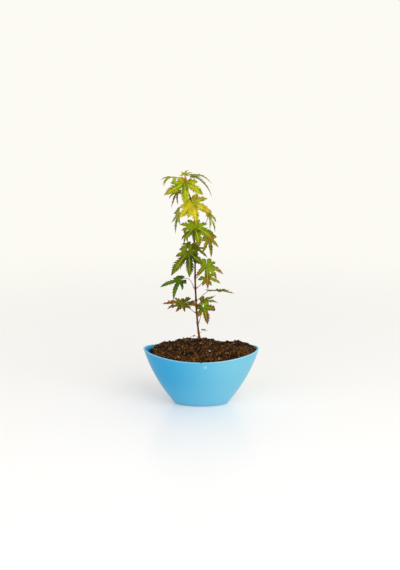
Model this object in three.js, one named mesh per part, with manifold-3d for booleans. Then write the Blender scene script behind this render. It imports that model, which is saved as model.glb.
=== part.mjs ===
// A young Japanese maple, one thin upright stem with leaves in opposite pairs, planted in a heap of
// compost in an oval, boat-rimmed planter. Millimetres, +Z up, +X along the planter, -Y to the front.
// The origin is the middle of the planter's flat underside.
import * as THREE from 'three';
import Module from 'manifold-3d';

const wasm = await Module();
wasm.setup();

// Driving dimensions of the planter
const PLANTER = {
  length: 200, // over the two raised ends of the rim
  width: 110, // over the rim at the middle
  endHeight: 100, // rim height at the raised ends
  waistHeight: 90, // rim height at the middle of the long sides
  footLength: 92,
  footWidth: 44,
  rings: [0.04, 0.16, 0.32, 0.48, 0.64, 0.82], // parts of the way up the outer face
  footRound: 2.5, // how far the flat underside stays inside the foot's outline
  bulgeLength: 168.8, // across the control point of the end profile
  bulgeWidth: 92,
  bulgeHeight: 0.463, // height of that control point, as a part of the rim height
  wall: 3, // measured level, so about 2.4 through the sloping wall
  floor: 3,
  lip: 1, // the rim's rounded top
  sides: 44,
};

// How far up the wall the rings of its inner face lie; the compost's side follows them
const WALL_RINGS = [0.28, 0.52, 0.76];

// Driving dimensions of the compost heap
const COMPOST = {
  clear: 0.8, // level gap to the planter's wall, over 0.3 through the slope
  edge: 0.95, // where it meets the wall, as a part of the way up the wall
  leftEdge: 0.885, // the same at the left end, where it has settled
  rightEdge: 0.985, // and at the right end, where it is full
  sag: 4.5, // how far its top would lie under the rim without the heap
  heap: 23.5, // rise of the middle over the edge
  power: 4, // how squarely the heap falls away to the edge
  rightHollow: { at: 38, reach: 19, depth: 6 }, // a settled place to the right of the stem
  leftHollow: { at: -52, reach: 16, depth: 3 },
  endPower: 4, // how near the two ends of the oval the edge changes
  settling: 8, // how near the edge the two ends differ from the middle, as a power of the way out
  lump: 1.5, // how far the surface goes up and down in lumps
  lumpGrowth: 2, // how soon the lumps reach that on the way out
  rings: [0.9, 0.78, 0.66, 0.54, 0.42, 0.3, 0.18], // parts of the way from the stem to the edge
  level: 0.07, // part of the way that is level, so that the stem stands on it
  seat: 111.6, // height of that level place, a small mound on the heap
};

// The stem: where its middle line runs, and how thick it is
const STEM = {
  line: [
    [-3, 8, 112], [-4.5, 7.5, 124], [-6.5, 7, 142], [-8, 6.5, 161.5], [-9, 5.5, 183], [-10, 5, 204.5],
    [-10.5, 4, 223], [-10.5, 3.5, 248], [-11.5, 2, 282], [-11, 0.5, 318], [-12.5, 0, 334.5],
    [-17.5, -0.5, 356], [-21.5, -1, 370], [-26, -1.5, 384],
  ],
  footRadius: 1.7,
  tipRadius: 1,
  flare: 1.0, // extra radius of the root flare at the ground
  flareReach: 4,
  nodeSwell: 0.4,
  nodeLength: 3,
  sides: 8,
  rings: 36,
};

// The stalks: thick at the stem and thin towards the blade, rising from the stem at an angle in degrees
const STALK = {
  baseRadius: 0.75,
  radius: 0.5,
  endRadius: 0.3, // where it ends inside the blade
  sides: 5,
  step: 4,
  clear: 0.45, // level gap to the stem
  rise: 40,
  thinning: 4, // how soon it thins from its heel
  bend: 0.45, // where its bend lies, as a part of its length
  inside: 0.5, // how far it runs on under the blade, as a part of the web
};

// The blade rule: a fan of lobes joined by a web, each lobe folded along its midrib
const BLADE = {
  web: 0.23, // reach of the web between lobes, as a part of the blade's length
  width: 0.112, // half width of a lobe, as a part of its length
  webFold: 14, // degrees that each half of a lobe is raised near the stalk
  narrowing: 0.7, // a short lobe is a little wider for its length: the power of its length in its width
  widestAt: 0.26, // part of the lobe at which it is widest
  blunt: 0.12, // keeps its outline open at the web
  pointed: 1.05, // how finely it runs out to its tip
  filled: 6, // how quickly the web between two lobes gives way to their own outlines
  ear: 36, // degrees of blade outside the two last lobes
  earRoom: 3, // degrees that the two ears stay apart
  tooth: 0.26, // how much the edge swings in and out
  toothLean: 0.5, // how far a tooth points forward, as a part of the half width
  toothRoom: 3.6, // a lobe has an odd number of tooth rows, about this far apart
  rows: 5, // the most tooth rows
  thick: 0.8, // at the midrib; the edges are sharp
  thinning: 0.75, // how much of that a lobe loses towards its tip
  twist: 28, // degrees, most that a lobe turns about its own midrib
  turnGrowth: 3, // how soon a lobe leaves the web's plane
  veer: 18, // degrees, most that a lobe bends sideways of itself
  uneven: 0.35, // how much the droop differs from lobe to lobe
  droopPower: 1.3,
  veerPower: 1.5,
  foldEnd: 0.4, // part of the lobe over which the fold grows to its full angle
};

// One row for each leaf: the height of its node on the stem, where the stalk meets the blade, the
// blade's length, the way its middle lobe points (heading round from +X, pitch up), its roll, how far
// the lobe tips droop in degrees, and its fan of lobes. A lobe is its angle to the middle one and its
// part of the length, and may go on with degrees that it droops more and bends sideways more, and with
// how much wider it is than the rule has it.
const FIVE = [[0, 1], [48, 0.85], [-48, 0.85], [98, 0.52], [-98, 0.52]];
const SEVEN = [[0, 1], [46, 0.93], [-46, 0.93], [92, 0.62], [-92, 0.62], [136, 0.35], [-136, 0.35]];
const LEAVES = [
  { name: 'leaf_1_right', node: 381, at: [-17.5, 4, 396], blade: 38, heading: -12, pitch: -2,
    roll: -24, droop: 44, fold: 35, slim: 0.5,
    fan: [[-12, 0.6, 20], [-36, 1.45, -18], [46, 1.5, -26], [76, 0.45, 10], [-86, 0.5, 20]],
    colour: 'green' },
  { name: 'leaf_1_left', node: 381, at: [-37, 3.5, 393], blade: 32, heading: 180, pitch: 8, roll: 4,
    droop: 40, fold: 35, slim: 0.85,
    fan: [[0, 1], [30, 1.1, 26], [62, 0.85, 44], [-34, 1.2, 34], [-70, 0.7, 50]], colour: 'green' },
  { name: 'leaf_1_back', node: 382, at: [-28, 11, 397], blade: 19, heading: 70, pitch: 42, roll: 0,
    slim: 0.55, droop: 60, fold: 35, fan: FIVE, colour: 'green' },
  { name: 'leaf_2_front', node: 379, at: [-27, -12, 386.5], blade: 41, heading: -90, pitch: -58,
    roll: 0, droop: 20, slim: 1.06,
    fan: [[2, 1, 0, 0, 1.3], [57, 0.9, 0, 0, 1.35], [-56, 1, 0, 0, 1.35], [-90, 0.62, 10],
      [94, 0.55], [-118, 0.35]], colour: 'yellow' },
  { name: 'leaf_2_left', node: 358, at: [-39, 10, 371.5], blade: 30, heading: -172, pitch: -60,
    roll: -30, droop: 12, fold: 45, slim: 0.7,
    fan: [[8, 1.05], [-30, 0.85], [38, 0.9, 0, -16], [-72, 0.5], [80, 0.5]], colour: 'red' },
  { name: 'leaf_3_front', node: 348, at: [-15, -12, 353], blade: 36, heading: -90, pitch: -52, roll: 0,
    droop: 20, slim: 1.12, fan: [[-36, 0.98, 0, 0, 1.3], [-12, 0.8, 0, 0, 1.2], [14, 1, 0, 0, 1.4],
      [60, 1.04, 0, 0, 1.3], [116, 0.8, 0, 0, 1.3], [154, 0.6, 0, 0, 1.2], [-68, 0.68], [-110, 0.4]],
    colour: 'yellow' },
  { name: 'leaf_3_back', node: 348, at: [-12.5, 22, 346.5], blade: 30, heading: 84, pitch: -40,
    roll: 0, droop: 24, fan: SEVEN, colour: 'green' },
  { name: 'leaf_4_left', node: 330, at: [-37, 10, 334], blade: 33.5, heading: -170, pitch: -66,
    roll: -24, droop: 20, fold: 35, slim: 0.85,
    fan: [[12, 1.1], [-22, 0.75], [40, 0.7], [84, 0.4], [-66, 0.45], [-130, 0.3]], colour: 'dark' },
  { name: 'leaf_4_right', node: 318, at: [11, 0, 334.5], blade: 35, heading: -10, pitch: -64, roll: 14,
    droop: 14, fold: 35, via: [12, 0, 309], slim: 0.85,
    fan: [[0, 1], [-26, 0.85], [40, 0.85], [92, 0.4], [-76, 0.35], [150, 0.3]], colour: 'green' },
  { name: 'leaf_5_front', node: 309, at: [-11, -14, 313.5], blade: 37, heading: -90, pitch: -52,
    roll: 0, droop: 20, slim: 1.12,
    fan: [[15, 1, 0, 0, 1.4], [62, 1.14, 10, -12, 1.35], [-36, 0.8, 0, 0, 1.2], [-76, 0.64],
      [-106, 0.7], [-138, 0.52], [152, 0.45], [108, 0.62]], colour: 'green' },
  { name: 'leaf_5_back', node: 309, at: [-10, 22, 304.5], blade: 32, heading: 100, pitch: -44, roll: 0,
    droop: 24, fan: SEVEN, colour: 'dark' },
  { name: 'leaf_6_left', node: 295, at: [-24, 2.5, 300.5], blade: 24, heading: -160, pitch: -72,
    roll: -20, droop: 20, fold: 45, slim: 0.85,
    fan: [[0, 1], [-34, 0.75], [32, 0.8], [84, 0.5], [-90, 0.5]], colour: 'red' },
  { name: 'leaf_6_right', node: 283, at: [12.5, 6, 293], blade: 36, heading: -45, pitch: -76, roll: 38,
    droop: 8, fold: 40, slim: 0.9,
    fan: [[2, 1], [-30, 0.85], [33, 0.7], [80, 0.4], [-68, 0.4], [140, 0.3]], colour: 'green' },
  { name: 'leaf_7_front', node: 274, at: [-21.5, -19, 272.5], blade: 46, heading: -90, pitch: -66,
    roll: 0, droop: 16,
    fan: [[6, 0.95, 0, 0, 1.3], [-37, 1.1, 0, 16, 1.25], [46, 0.7, 0, 0, 1.5], [-70, 0.5],
      [100, 0.4], [-112, 0.3], [150, 0.25]], colour: 'dark' },
  { name: 'leaf_7_left', node: 281, at: [-18.5, -6, 281.5], blade: 26, heading: -95, pitch: -32,
    roll: 0, droop: 24,
    fan: [[58, 0.95], [-60, 0.85], [102, 0.66], [-104, 0.66], [-150, 0.4], [0, 0.34]], colour: 'dark' },
  { name: 'leaf_7_back', node: 274, at: [-11, 24, 270.5], blade: 32, heading: 80, pitch: -46, roll: 0,
    droop: 24, fan: SEVEN, colour: 'dark' },
  { name: 'leaf_8_right', node: 223, at: [9, -14, 249], blade: 38, heading: -90, pitch: -52, roll: 0,
    droop: 20, fan: [[4, 1.15], [-40, 0.74], [64, 0.86], [37, 0.8], [108, 0.42], [148, 0.38],
      [-92, 0.28], [-146, 0.38]], colour: 'green' },
  { name: 'leaf_9_right', node: 204.5, at: [8, 8, 222.5], blade: 30, heading: -50, pitch: -40,
    roll: 20, droop: 35, fan: [[4, 0.62], [48, 0.95], [-46, 0.62], [88, 0.72], [-98, 0.52]],
    colour: 'dark' },
  { name: 'leaf_9_left', node: 204.5, at: [-36, -4, 220.5], blade: 37.5, heading: -155, pitch: -14,
    roll: -34, droop: 36, via: [-19, 3, 230], slim: 0.8,
    fan: [[-10, 1, 0, 0, 1.1], [38, 1.06, 0, 22], [78, 0.56], [118, 0.36], [-46, 0.34],
      [-88, 0.3], [-134, 0.3]], colour: 'dark' },
  { name: 'leaf_10_right', node: 183, at: [12, 14, 198], blade: 46, heading: -3, pitch: 0, roll: -12,
    droop: 8, fold: 40, slim: 0.95, fan: [[0, 1], [30, 0.6], [-34, 0.55], [76, 0.35], [-80, 0.3]],
    colour: 'red' },
  { name: 'leaf_10_low', node: 172, at: [-1, 16, 177.5], blade: 34, heading: -5, pitch: 6, roll: 24,
    droop: 14, slim: 1.15, fan: [[0, 0.92], [30, 0.9], [-38, 0.6], [75, 0.5], [-80, 0.35]],
    colour: 'green' },
  { name: 'leaf_11_left', node: 161, at: [-31, -4, 179.5], blade: 35, heading: -172, pitch: 0,
    roll: -34, droop: 14, fold: 30, slim: 1.1,
    fan: [[-12, 1.05], [20, 0.86], [-48, 0.55, 20], [-88, 0.4], [54, 0.66], [92, 0.5],
      [134, 0.5], [-132, 0.62, 0, 0, 1.3], [174, 0.78, 0, 0, 1.6]], colour: 'red' },
  { name: 'leaf_11_right', node: 142, at: [4, -12, 175], blade: 31, heading: -90, pitch: -56, roll: 0,
    droop: 18, via: [0, 0, 160], slim: 1.2,
    fan: [[16, 1, 0, 0, 1.15], [-32, 0.72], [84, 0.74, 40, 0, 1.5], [-88, 0.42], [138, 0.4]],
    colour: 'green' },
  { name: 'leaf_12_right', node: 124, at: [3, 6, 130.5], blade: 10, heading: 0, pitch: -6, roll: 0,
    droop: 14, stalk: 0.5, thin: 0.5, fan: [[0, 1], [60, 0.9], [-60, 0.9], [130, 0.5], [-130, 0.5]],
    colour: 'green' },
  { name: 'leaf_12_left', node: 117, at: [-11, 6, 120], blade: 9, heading: 180, pitch: -10, roll: 0,
    droop: 20, stalk: 0.5, thin: 0.5, fan: [[0, 1], [60, 0.9], [-60, 0.9]], colour: 'green' },
];

// The folded young leaves at the tip: slim spindles, every other one shorter, the first nearly upright
const TIP = {
  length: 13,
  shorter: 0.3,
  radius: 2.3,
  endRadius: 0.16,
  cut: 0.15, // the part of the half wave of its radius that is cut off at the foot
  seat: 0.4, // gap to the stem's end
  sunk: 0.3, // room for the lean of the feet, as a part of the radius
  lean: 25,
  firstLean: 4,
  uneven: 0.4,
  count: 6,
  steps: 4,
  sides: 5,
};

const radians = THREE.MathUtils.degToRad;
const mix = THREE.MathUtils.lerp;
const smooth = (x) => THREE.MathUtils.smoothstep(x, 0, 1);
const vector = (p) => new THREE.Vector3(...p);

// A direction turned towards another, square to it, by an angle
function turned(from, to, angle) {
  return from.clone().multiplyScalar(Math.cos(angle)).addScaledVector(to, Math.sin(angle));
}

// A number from -1 to 1 that depends only on the whole numbers given
function wobble(a, b, c = 0) {
  const x = Math.sin(a * 12.9898 + b * 78.233 + c * 37.719 + 4.1414) * 43758.5453;
  return 2 * (x - Math.floor(x)) - 1;
}

// 1 at distance 0, falling away smoothly to almost 0 at twice the reach
const bell = (distance, reach) => Math.exp(-((distance / reach) ** 2));

// Indexed triangles under construction
class Shell {
  constructor() {
    this.points = [];
    this.faces = [];
  }

  point(p) {
    this.points.push(p.x, p.y, p.z);
    return this.points.length / 3 - 1;
  }

  face(a, b, c) {
    this.faces.push(a, b, c);
  }

  // Two rings of equal count, the second further along the way the shell grows
  band(low, high) {
    low.forEach((a, i) => {
      const j = (i + 1) % low.length;
      this.face(a, low[j], high[j]);
      this.face(a, high[j], high[i]);
    });
  }

  // A ring closed onto one point; start is true at the end that the shell grows from
  cap(ring, centre, start) {
    ring.forEach((a, i) => {
      const b = ring[(i + 1) % ring.length];
      if (start) this.face(b, a, centre);
      else this.face(a, b, centre);
    });
  }

  geometry() {
    const geometry = new THREE.BufferGeometry();
    geometry.setAttribute('position', new THREE.Float32BufferAttribute(this.points, 3));
    geometry.setIndex(this.faces);
    geometry.computeVertexNormals();
    return geometry;
  }

  solid() {
    return new wasm.Manifold(new wasm.Mesh({
      numProp: 3,
      vertProperties: new Float32Array(this.points),
      triVerts: new Uint32Array(this.faces),
    }));
  }
}

// The outer body alone: a pocket that fusing sealed is filled, and a loose scrap is dropped
function solidGeometry(solid) {
  const bodies = solid.decompose().sort((a, b) => b.volume() - a.volume());
  const { numProp, vertProperties, triVerts } = bodies[0].getMesh();
  const geometry = new THREE.BufferGeometry();
  const positions = new Float32Array((vertProperties.length / numProp) * 3);
  for (let i = 0; i < positions.length / 3; i += 1) {
    positions.set(vertProperties.subarray(i * numProp, i * numProp + 3), i * 3);
  }
  geometry.setAttribute('position', new THREE.BufferAttribute(positions, 3));
  geometry.setIndex(new THREE.BufferAttribute(triVerts, 1));
  geometry.computeVertexNormals();
  return geometry;
}

// Round limb along a curve, its radius a function of the way along, closed by flat ends
function limb(curve, radius, steps, sides, level = false) {
  const shell = new Shell();
  const rings = [];
  const upright = 0.8;
  for (let k = 0; k <= steps; k += 1) {
    const t = k / steps;
    const along = level && k === 0 ? new THREE.Vector3(0, 0, 1) : curve.getTangentAt(t);
    const side = Math.abs(along.z) > upright ? new THREE.Vector3(1, 0, 0) : new THREE.Vector3(0, 0, 1);
    const u = side.clone().addScaledVector(along, -side.dot(along)).normalize();
    const v = along.clone().cross(u);
    const middle = curve.getPointAt(t);
    rings.push(Array.from({ length: sides }, (_, i) => {
      const angle = (2 * Math.PI * i) / sides;
      const p = middle.clone().addScaledVector(u, radius(t) * Math.cos(angle));
      return shell.point(p.addScaledVector(v, radius(t) * Math.sin(angle)));
    }));
  }
  rings.slice(1).forEach((ring, k) => shell.band(rings[k], ring));
  shell.cap(rings[0], shell.point(curve.getPointAt(0)), true);
  shell.cap(rings[steps], shell.point(curve.getPointAt(1)), false);
  return shell;
}

const quadratic = (a, b, c, v) => a * (1 - v) ** 2 + 2 * b * v * (1 - v) + c * v * v;

function rimHeight(angle) {
  return mix(PLANTER.waistHeight, PLANTER.endHeight, Math.cos(angle) ** 2);
}

// A point of the planter's outer face pushed in by inset, v of the way up from the foot to the rim
function planterPoint(angle, v, inset) {
  const x = quadratic(PLANTER.footLength, PLANTER.bulgeLength, PLANTER.length, v) / 2 - inset;
  const y = quadratic(PLANTER.footWidth, PLANTER.bulgeWidth, PLANTER.width, v) / 2 - inset;
  const z = quadratic(0, PLANTER.bulgeHeight, 1, v) * rimHeight(angle);
  return new THREE.Vector3(x * Math.cos(angle), y * Math.sin(angle), z);
}

function ringOf(shell, place) {
  const step = (2 * Math.PI) / PLANTER.sides;
  return Array.from({ length: PLANTER.sides }, (_, i) => shell.point(place(i * step)));
}

// How far up the wall a height over the foot lies, near the foot
const wayUp = (height) => height / (2 * PLANTER.bulgeHeight * PLANTER.waistHeight);

function planter() {
  const shell = new Shell();
  const low = (v, inset, drop = 0) => (angle) => {
    const p = planterPoint(angle, v, inset);
    p.z -= drop;
    return p;
  };
  const flat = (height, v, inset) => (angle) => planterPoint(angle, v, inset).setZ(height);
  const floorWay = wayUp(PLANTER.floor);
  const places = [
    flat(0, 0, PLANTER.footRound),
    ...PLANTER.rings.map((v) => low(v, 0)),
    low(1, 0, PLANTER.lip),
    low(1, PLANTER.wall / 2),
    low(1, PLANTER.wall, PLANTER.lip),
    ...WALL_RINGS.toReversed().map((v) => low(v, PLANTER.wall)),
    flat(PLANTER.floor, floorWay, PLANTER.wall),
  ];
  const rings = places.map((place) => ringOf(shell, place));
  rings.slice(1).forEach((ring, k) => shell.band(rings[k], ring));
  shell.cap(rings[0], shell.point(new THREE.Vector3(0, 0, 0)), true);
  shell.cap(rings[rings.length - 1], shell.point(new THREE.Vector3(0, 0, PLANTER.floor)), false);
  return shell;
}

// Height of the compost's top at a place that lies reach of the way from the stem to the wall
function heapHeight(x, reach) {
  const { sag, heap, power, rightHollow, leftHollow } = COMPOST;
  const rim = mix(PLANTER.waistHeight, PLANTER.endHeight, ((2 * x) / PLANTER.length) ** 2);
  const hollow = (place) => place.depth * bell(x - place.at, place.reach);
  return rim - sag + (heap - hollow(rightHollow) - hollow(leftHollow)) * (1 - reach ** power);
}

// Where the compost's edge meets the wall, as a part of the way up the wall
function edgeWay(angle) {
  const end = Math.cos(angle) < 0 ? COMPOST.leftEdge : COMPOST.rightEdge;
  return mix(COMPOST.edge, end, Math.cos(angle) ** COMPOST.endPower);
}

// The compost fills the planter up to a sagging edge line at the wall, and is heaped towards the stem
function compost() {
  const shell = new Shell();
  const foot = vector(STEM.line[0]).setZ(COMPOST.seat);
  const inset = PLANTER.wall + COMPOST.clear;
  const bottom = PLANTER.floor + COMPOST.clear;
  const side = (v) => (angle) => planterPoint(angle, v, inset);
  const edge = (angle) => planterPoint(angle, edgeWay(angle), inset);
  const inwards = (angle, reach) => foot.clone().lerp(edge(angle), reach);
  const heap = (reach, ring) => (angle) => {
    const p = inwards(angle, reach);
    const step = Math.round((angle * PLANTER.sides) / (2 * Math.PI));
    const lump = COMPOST.lump * smooth(COMPOST.lumpGrowth * reach) * wobble(step, ring);
    const settled = edge(angle).z - rimHeight(angle) + COMPOST.sag;
    return p.setZ(heapHeight(p.x, reach) + settled * reach ** COMPOST.settling + lump);
  };
  const places = [
    (angle) => planterPoint(angle, wayUp(bottom), inset).setZ(bottom),
    ...WALL_RINGS.map(side),
    edge,
    ...COMPOST.rings.map(heap),
    (angle) => inwards(angle, COMPOST.level).setZ(foot.z),
  ];
  const rings = places.map((place) => ringOf(shell, place));
  rings.slice(1).forEach((ring, k) => shell.band(rings[k], ring));
  shell.cap(rings[0], shell.point(new THREE.Vector3(0, 0, bottom)), true);
  shell.cap(rings[rings.length - 1], shell.point(foot), false);
  return shell;
}

const stemLine = new THREE.CatmullRomCurve3(STEM.line.map(vector), false, 'centripetal');

// The stem's middle at a height, found by halving, as the line rises all the way
function stemAt(height) {
  const halvings = 24;
  let low = 0;
  let high = 1;
  for (let k = 0; k < halvings; k += 1) {
    const t = (low + high) / 2;
    if (stemLine.getPointAt(t).z < height) low = t;
    else high = t;
  }
  return stemLine.getPointAt(low);
}

// The stem's radius at a height: its taper, its flare at the ground and a swelling at each node
function stemRadius(height) {
  const ground = STEM.line[0][2];
  const top = STEM.line[STEM.line.length - 1][2];
  const taper = mix(STEM.footRadius, STEM.tipRadius, (height - ground) / (top - ground));
  const flare = STEM.flare * bell(height - ground, STEM.flareReach);
  const swell = Math.max(...LEAVES.map(({ node }) => bell(height - node, STEM.nodeLength)));
  return taper + flare + STEM.nodeSwell * swell;
}

function stem() {
  const radius = (t) => stemRadius(stemLine.getPointAt(t).z);
  return limb(stemLine, radius, STEM.rings, STEM.sides, true);
}

// Forward along the middle lobe, side to its left and the normal of the upper face
function bladeAxes({ heading, pitch, roll }) {
  const h = radians(heading);
  const p = radians(pitch);
  const forward = new THREE.Vector3(Math.cos(p) * Math.cos(h), Math.cos(p) * Math.sin(h), Math.sin(p));
  const level = new THREE.Vector3(-Math.sin(h), Math.cos(h), 0);
  const over = forward.clone().cross(level);
  const r = radians(roll);
  return { forward, side: turned(level, over, r), normal: turned(over, level, -r) };
}

// A lobe's place in its fan: the way it points, the way across it, its reach and width, and its bends
function lobeOf(leaf, seed, axes, [angle, part, droop = 0, veer = 0, wide = 1]) {
  const a = radians(angle);
  return {
    out: turned(axes.forward, axes.side, a),
    across: turned(axes.side, axes.forward, -a),
    reach: part * leaf.blade,
    wide,
    droop,
    uneven: BLADE.uneven * wobble(seed, angle, 2),
    veer: radians(BLADE.veer * wobble(seed, angle, 3) + veer),
    twist: radians(BLADE.twist * wobble(seed, angle, 4)),
  };
}

// The midrib of a lobe, stepped out from the junction: it bends down by the droop and veers sideways,
// and the blade turns about it. u is 0 at the edge of the web and 1 at the tip.
function midrib(leaf, axes, lobe, stations) {
  const web = BLADE.web * leaf.blade;
  const place = vector(leaf.at);
  const fine = 4;
  let at = 0;
  return stations.map((s) => {
    let along;
    let aside;
    let u;
    for (let k = 1; k <= fine; k += 1) {
      const here = mix(at, s, k / fine);
      u = THREE.MathUtils.clamp((here - web) / (lobe.reach - web), 0, 1);
      const droop = leaf.droop * (1 + lobe.uneven * u) * (here / leaf.blade) ** BLADE.droopPower;
      const lift = radians(droop + lobe.droop * u ** BLADE.droopPower);
      const veer = lobe.veer * u ** BLADE.veerPower;
      const flat = turned(lobe.out, lobe.across, veer);
      along = turned(flat, axes.normal, -lift);
      aside = turned(lobe.across, lobe.out, -veer);
      place.addScaledVector(along, (s - at) / fine);
    }
    at = s;
    const turn = lobe.twist * u;
    const up = along.clone().cross(aside);
    const left = turned(aside, up, turn);
    const raised = turned(up, aside, -turn);
    const above = axes.normal.clone().lerp(raised, smooth(BLADE.turnGrowth * u)).normalize();
    return { place: place.clone(), along, left, above, u };
  });
}

// Half width of a lobe: its own outline, with a long fine point, widened near the web until it meets its
// neighbour half way
function halfWidth(leaf, { reach, wide }, u, meet) {
  const shape = (v) => Math.sqrt(v + BLADE.blunt) * (1 - v) ** BLADE.pointed;
  const size = reach ** BLADE.narrowing * leaf.blade ** (1 - BLADE.narrowing);
  const own = (BLADE.width * (leaf.slim ?? 1) * wide * size) / shape(BLADE.widestAt);
  return own * shape(u) + (meet - own * shape(0)) * (1 - u) ** BLADE.filled;
}

// A point of a lobe's edge, at row k from the web: teeth stand out at odd rows and lean forward
function edgePoint(leaf, lobe, station, sign, meet, k) {
  const folded = Math.max(leaf.fold ?? 0, BLADE.webFold);
  const fold = radians(mix(BLADE.webFold, folded, smooth(station.u / BLADE.foldEnd)));
  const tooth = k % 2 === 1;
  const swing = k === 0 ? 0 : BLADE.tooth * (tooth ? 1 : -1);
  const half = k === 0 ? meet : halfWidth(leaf, lobe, station.u, meet) * (1 + swing);
  const flat = k === 0 ? half : half * Math.cos(fold);
  const rise = k === 0 ? half * Math.tan(fold) : half * Math.sin(fold);
  const p = station.place.clone().addScaledVector(station.left, sign * flat);
  p.addScaledVector(station.above, rise);
  return p.addScaledVector(station.along, tooth ? BLADE.toothLean * half : 0);
}

// The blade: upper and lower faces share their sharp edges, and stand apart along the midribs
function blade(leaf, seed) {
  const shell = new Shell();
  const axes = bladeAxes(leaf);
  const web = BLADE.web * leaf.blade;
  const thick = BLADE.thick * (leaf.thin ?? 1);
  const fan = [...leaf.fan].sort((a, b) => a[0] - b[0]);
  const open = 360 - (fan[fan.length - 1][0] - fan[0][0]);
  const ear = Math.min(BLADE.ear, open / 2 - BLADE.earRoom);
  const heart = vector(leaf.at);
  const top = shell.point(heart);
  const bottom = shell.point(heart.clone().addScaledVector(axes.normal, -thick));
  let notch = null;
  let first = null;
  fan.forEach((entry, i) => {
    const lobe = lobeOf(leaf, seed, axes, entry);
    const span = lobe.reach - web;
    const rows = Math.min(BLADE.rows, 1 + 2 * Math.floor(span / (2 * BLADE.toothRoom)));
    const stations = Array.from({ length: rows + 2 }, (_, k) => web + (span * k) / (rows + 1));
    const rib = midrib(leaf, axes, lobe, stations);
    const run = rib[0].place.clone().sub(heart);
    const level = run.addScaledVector(axes.normal, -run.dot(axes.normal)).length();
    const meetAt = (gap) => level * Math.tan(radians(gap));
    const meetRight = meetAt(i === 0 ? ear : (entry[0] - fan[i - 1][0]) / 2);
    const meetLeft = meetAt(i === fan.length - 1 ? ear : (fan[i + 1][0] - entry[0]) / 2);
    const rowsOf = rib.slice(0, -1).map((station, k) => {
      const keel = thick * (1 - BLADE.thinning * station.u);
      const shared = k === 0 && notch !== null;
      return {
        right: shared ? notch : shell.point(edgePoint(leaf, lobe, station, -1, meetRight, k)),
        left: shell.point(edgePoint(leaf, lobe, station, 1, meetLeft, k)),
        upper: shell.point(station.place),
        lower: shell.point(station.place.clone().addScaledVector(station.above, -keel)),
      };
    });
    const tip = shell.point(rib[rib.length - 1].place);
    const near = rowsOf[0];
    shell.face(top, near.upper, near.left);
    shell.face(top, near.right, near.upper);
    shell.face(bottom, near.left, near.lower);
    shell.face(bottom, near.lower, near.right);
    rowsOf.slice(1).forEach((far, k) => {
      const here = rowsOf[k];
      shell.face(here.upper, far.upper, far.left);
      shell.face(here.upper, far.left, here.left);
      shell.face(here.right, far.right, far.upper);
      shell.face(here.right, far.upper, here.upper);
      shell.face(here.lower, far.left, far.lower);
      shell.face(here.lower, here.left, far.left);
      shell.face(here.right, far.lower, far.right);
      shell.face(here.right, here.lower, far.lower);
    });
    const last = rowsOf[rowsOf.length - 1];
    shell.face(last.upper, tip, last.left);
    shell.face(last.right, tip, last.upper);
    shell.face(last.lower, last.left, tip);
    shell.face(last.lower, tip, last.right);
    notch = near.left;
    first ??= near.right;
  });
  shell.face(first, top, bottom);
  shell.face(top, notch, bottom);
  return shell;
}

// The stalk leaves its node just clear of the stem, bends to the blade and ends inside the blade
function stalk(leaf) {
  const axes = bladeAxes(leaf);
  const size = leaf.stalk ?? 1;
  const thick = BLADE.thick * (leaf.thin ?? 1);
  const node = stemAt(leaf.node);
  const heart = vector(leaf.at).addScaledVector(axes.normal, -thick / 2);
  const aim = leaf.via ? vector(leaf.via) : heart;
  const away = aim.clone().sub(node).setZ(0).normalize();
  const rise = radians(STALK.rise);
  const start = turned(away, new THREE.Vector3(0, 0, 1), rise);
  const stand = stemRadius(leaf.node) + STALK.clear + STALK.baseRadius * size * Math.sin(rise);
  const root = node.clone().addScaledVector(away, stand);
  const span = heart.clone().sub(root);
  const bend = leaf.via ? aim : root.clone().addScaledVector(start, STALK.bend * span.length());
  const end = heart.clone().addScaledVector(axes.forward, STALK.inside * BLADE.web * leaf.blade);
  const path = new THREE.CurvePath();
  path.add(new THREE.QuadraticBezierCurve3(root, bend, heart));
  path.add(new THREE.LineCurve3(heart, end));
  const taper = (t) => mix(STALK.baseRadius, STALK.radius, smooth(STALK.thinning * t));
  const radius = (t) => size * (t === 1 ? STALK.endRadius : taper(t));
  return limb(path, radius, Math.ceil(path.getLength() / STALK.step), STALK.sides);
}

function leafGeometry(leaf, i) {
  const solid = blade(leaf, i + 1).solid().add(stalk(leaf).solid());
  return solidGeometry(solid);
}

// Folded young leaves, slim spindles that share one foot over the end of the stem
function youngLeaves() {
  const foot = vector(STEM.line[STEM.line.length - 1]);
  foot.z += TIP.seat + TIP.sunk * TIP.radius;
  const girth = (t) => Math.max(TIP.endRadius, TIP.radius * Math.sin(Math.PI * mix(TIP.cut, 1, t)));
  let cluster = null;
  for (let k = 0; k < TIP.count; k += 1) {
    const turn = (2 * Math.PI * k) / TIP.count;
    const lean = radians(k === 0 ? TIP.firstLean : TIP.lean * (1 + TIP.uneven * wobble(k, 11)));
    const length = TIP.length * (1 - TIP.shorter * (k % 2));
    const out = new THREE.Vector3(Math.cos(turn), Math.sin(turn), 0);
    const up = turned(new THREE.Vector3(0, 0, 1), out, lean);
    const curve = new THREE.LineCurve3(foot, foot.clone().addScaledVector(up, length));
    const spindle = limb(curve, girth, TIP.steps, TIP.sides).solid();
    cluster = cluster ? cluster.add(spindle) : spindle;
  }
  return solidGeometry(cluster);
}

const FINISHES = {
  planter: { color: 0x5fb8db, roughness: 0.35 },
  compost: { color: 0x3e2614, roughness: 0.95 },
  bark: { color: 0x6b4a2c, roughness: 0.75 },
  tip: { color: 0xc8642a, roughness: 0.5 },
  yellow: { color: 0xb7b830, roughness: 0.55 },
  green: { color: 0x7f9a2c, roughness: 0.55 },
  dark: { color: 0x4c6b28, roughness: 0.55 },
  red: { color: 0x8a5a34, roughness: 0.6 },
};

const maple = new THREE.Group();

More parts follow.
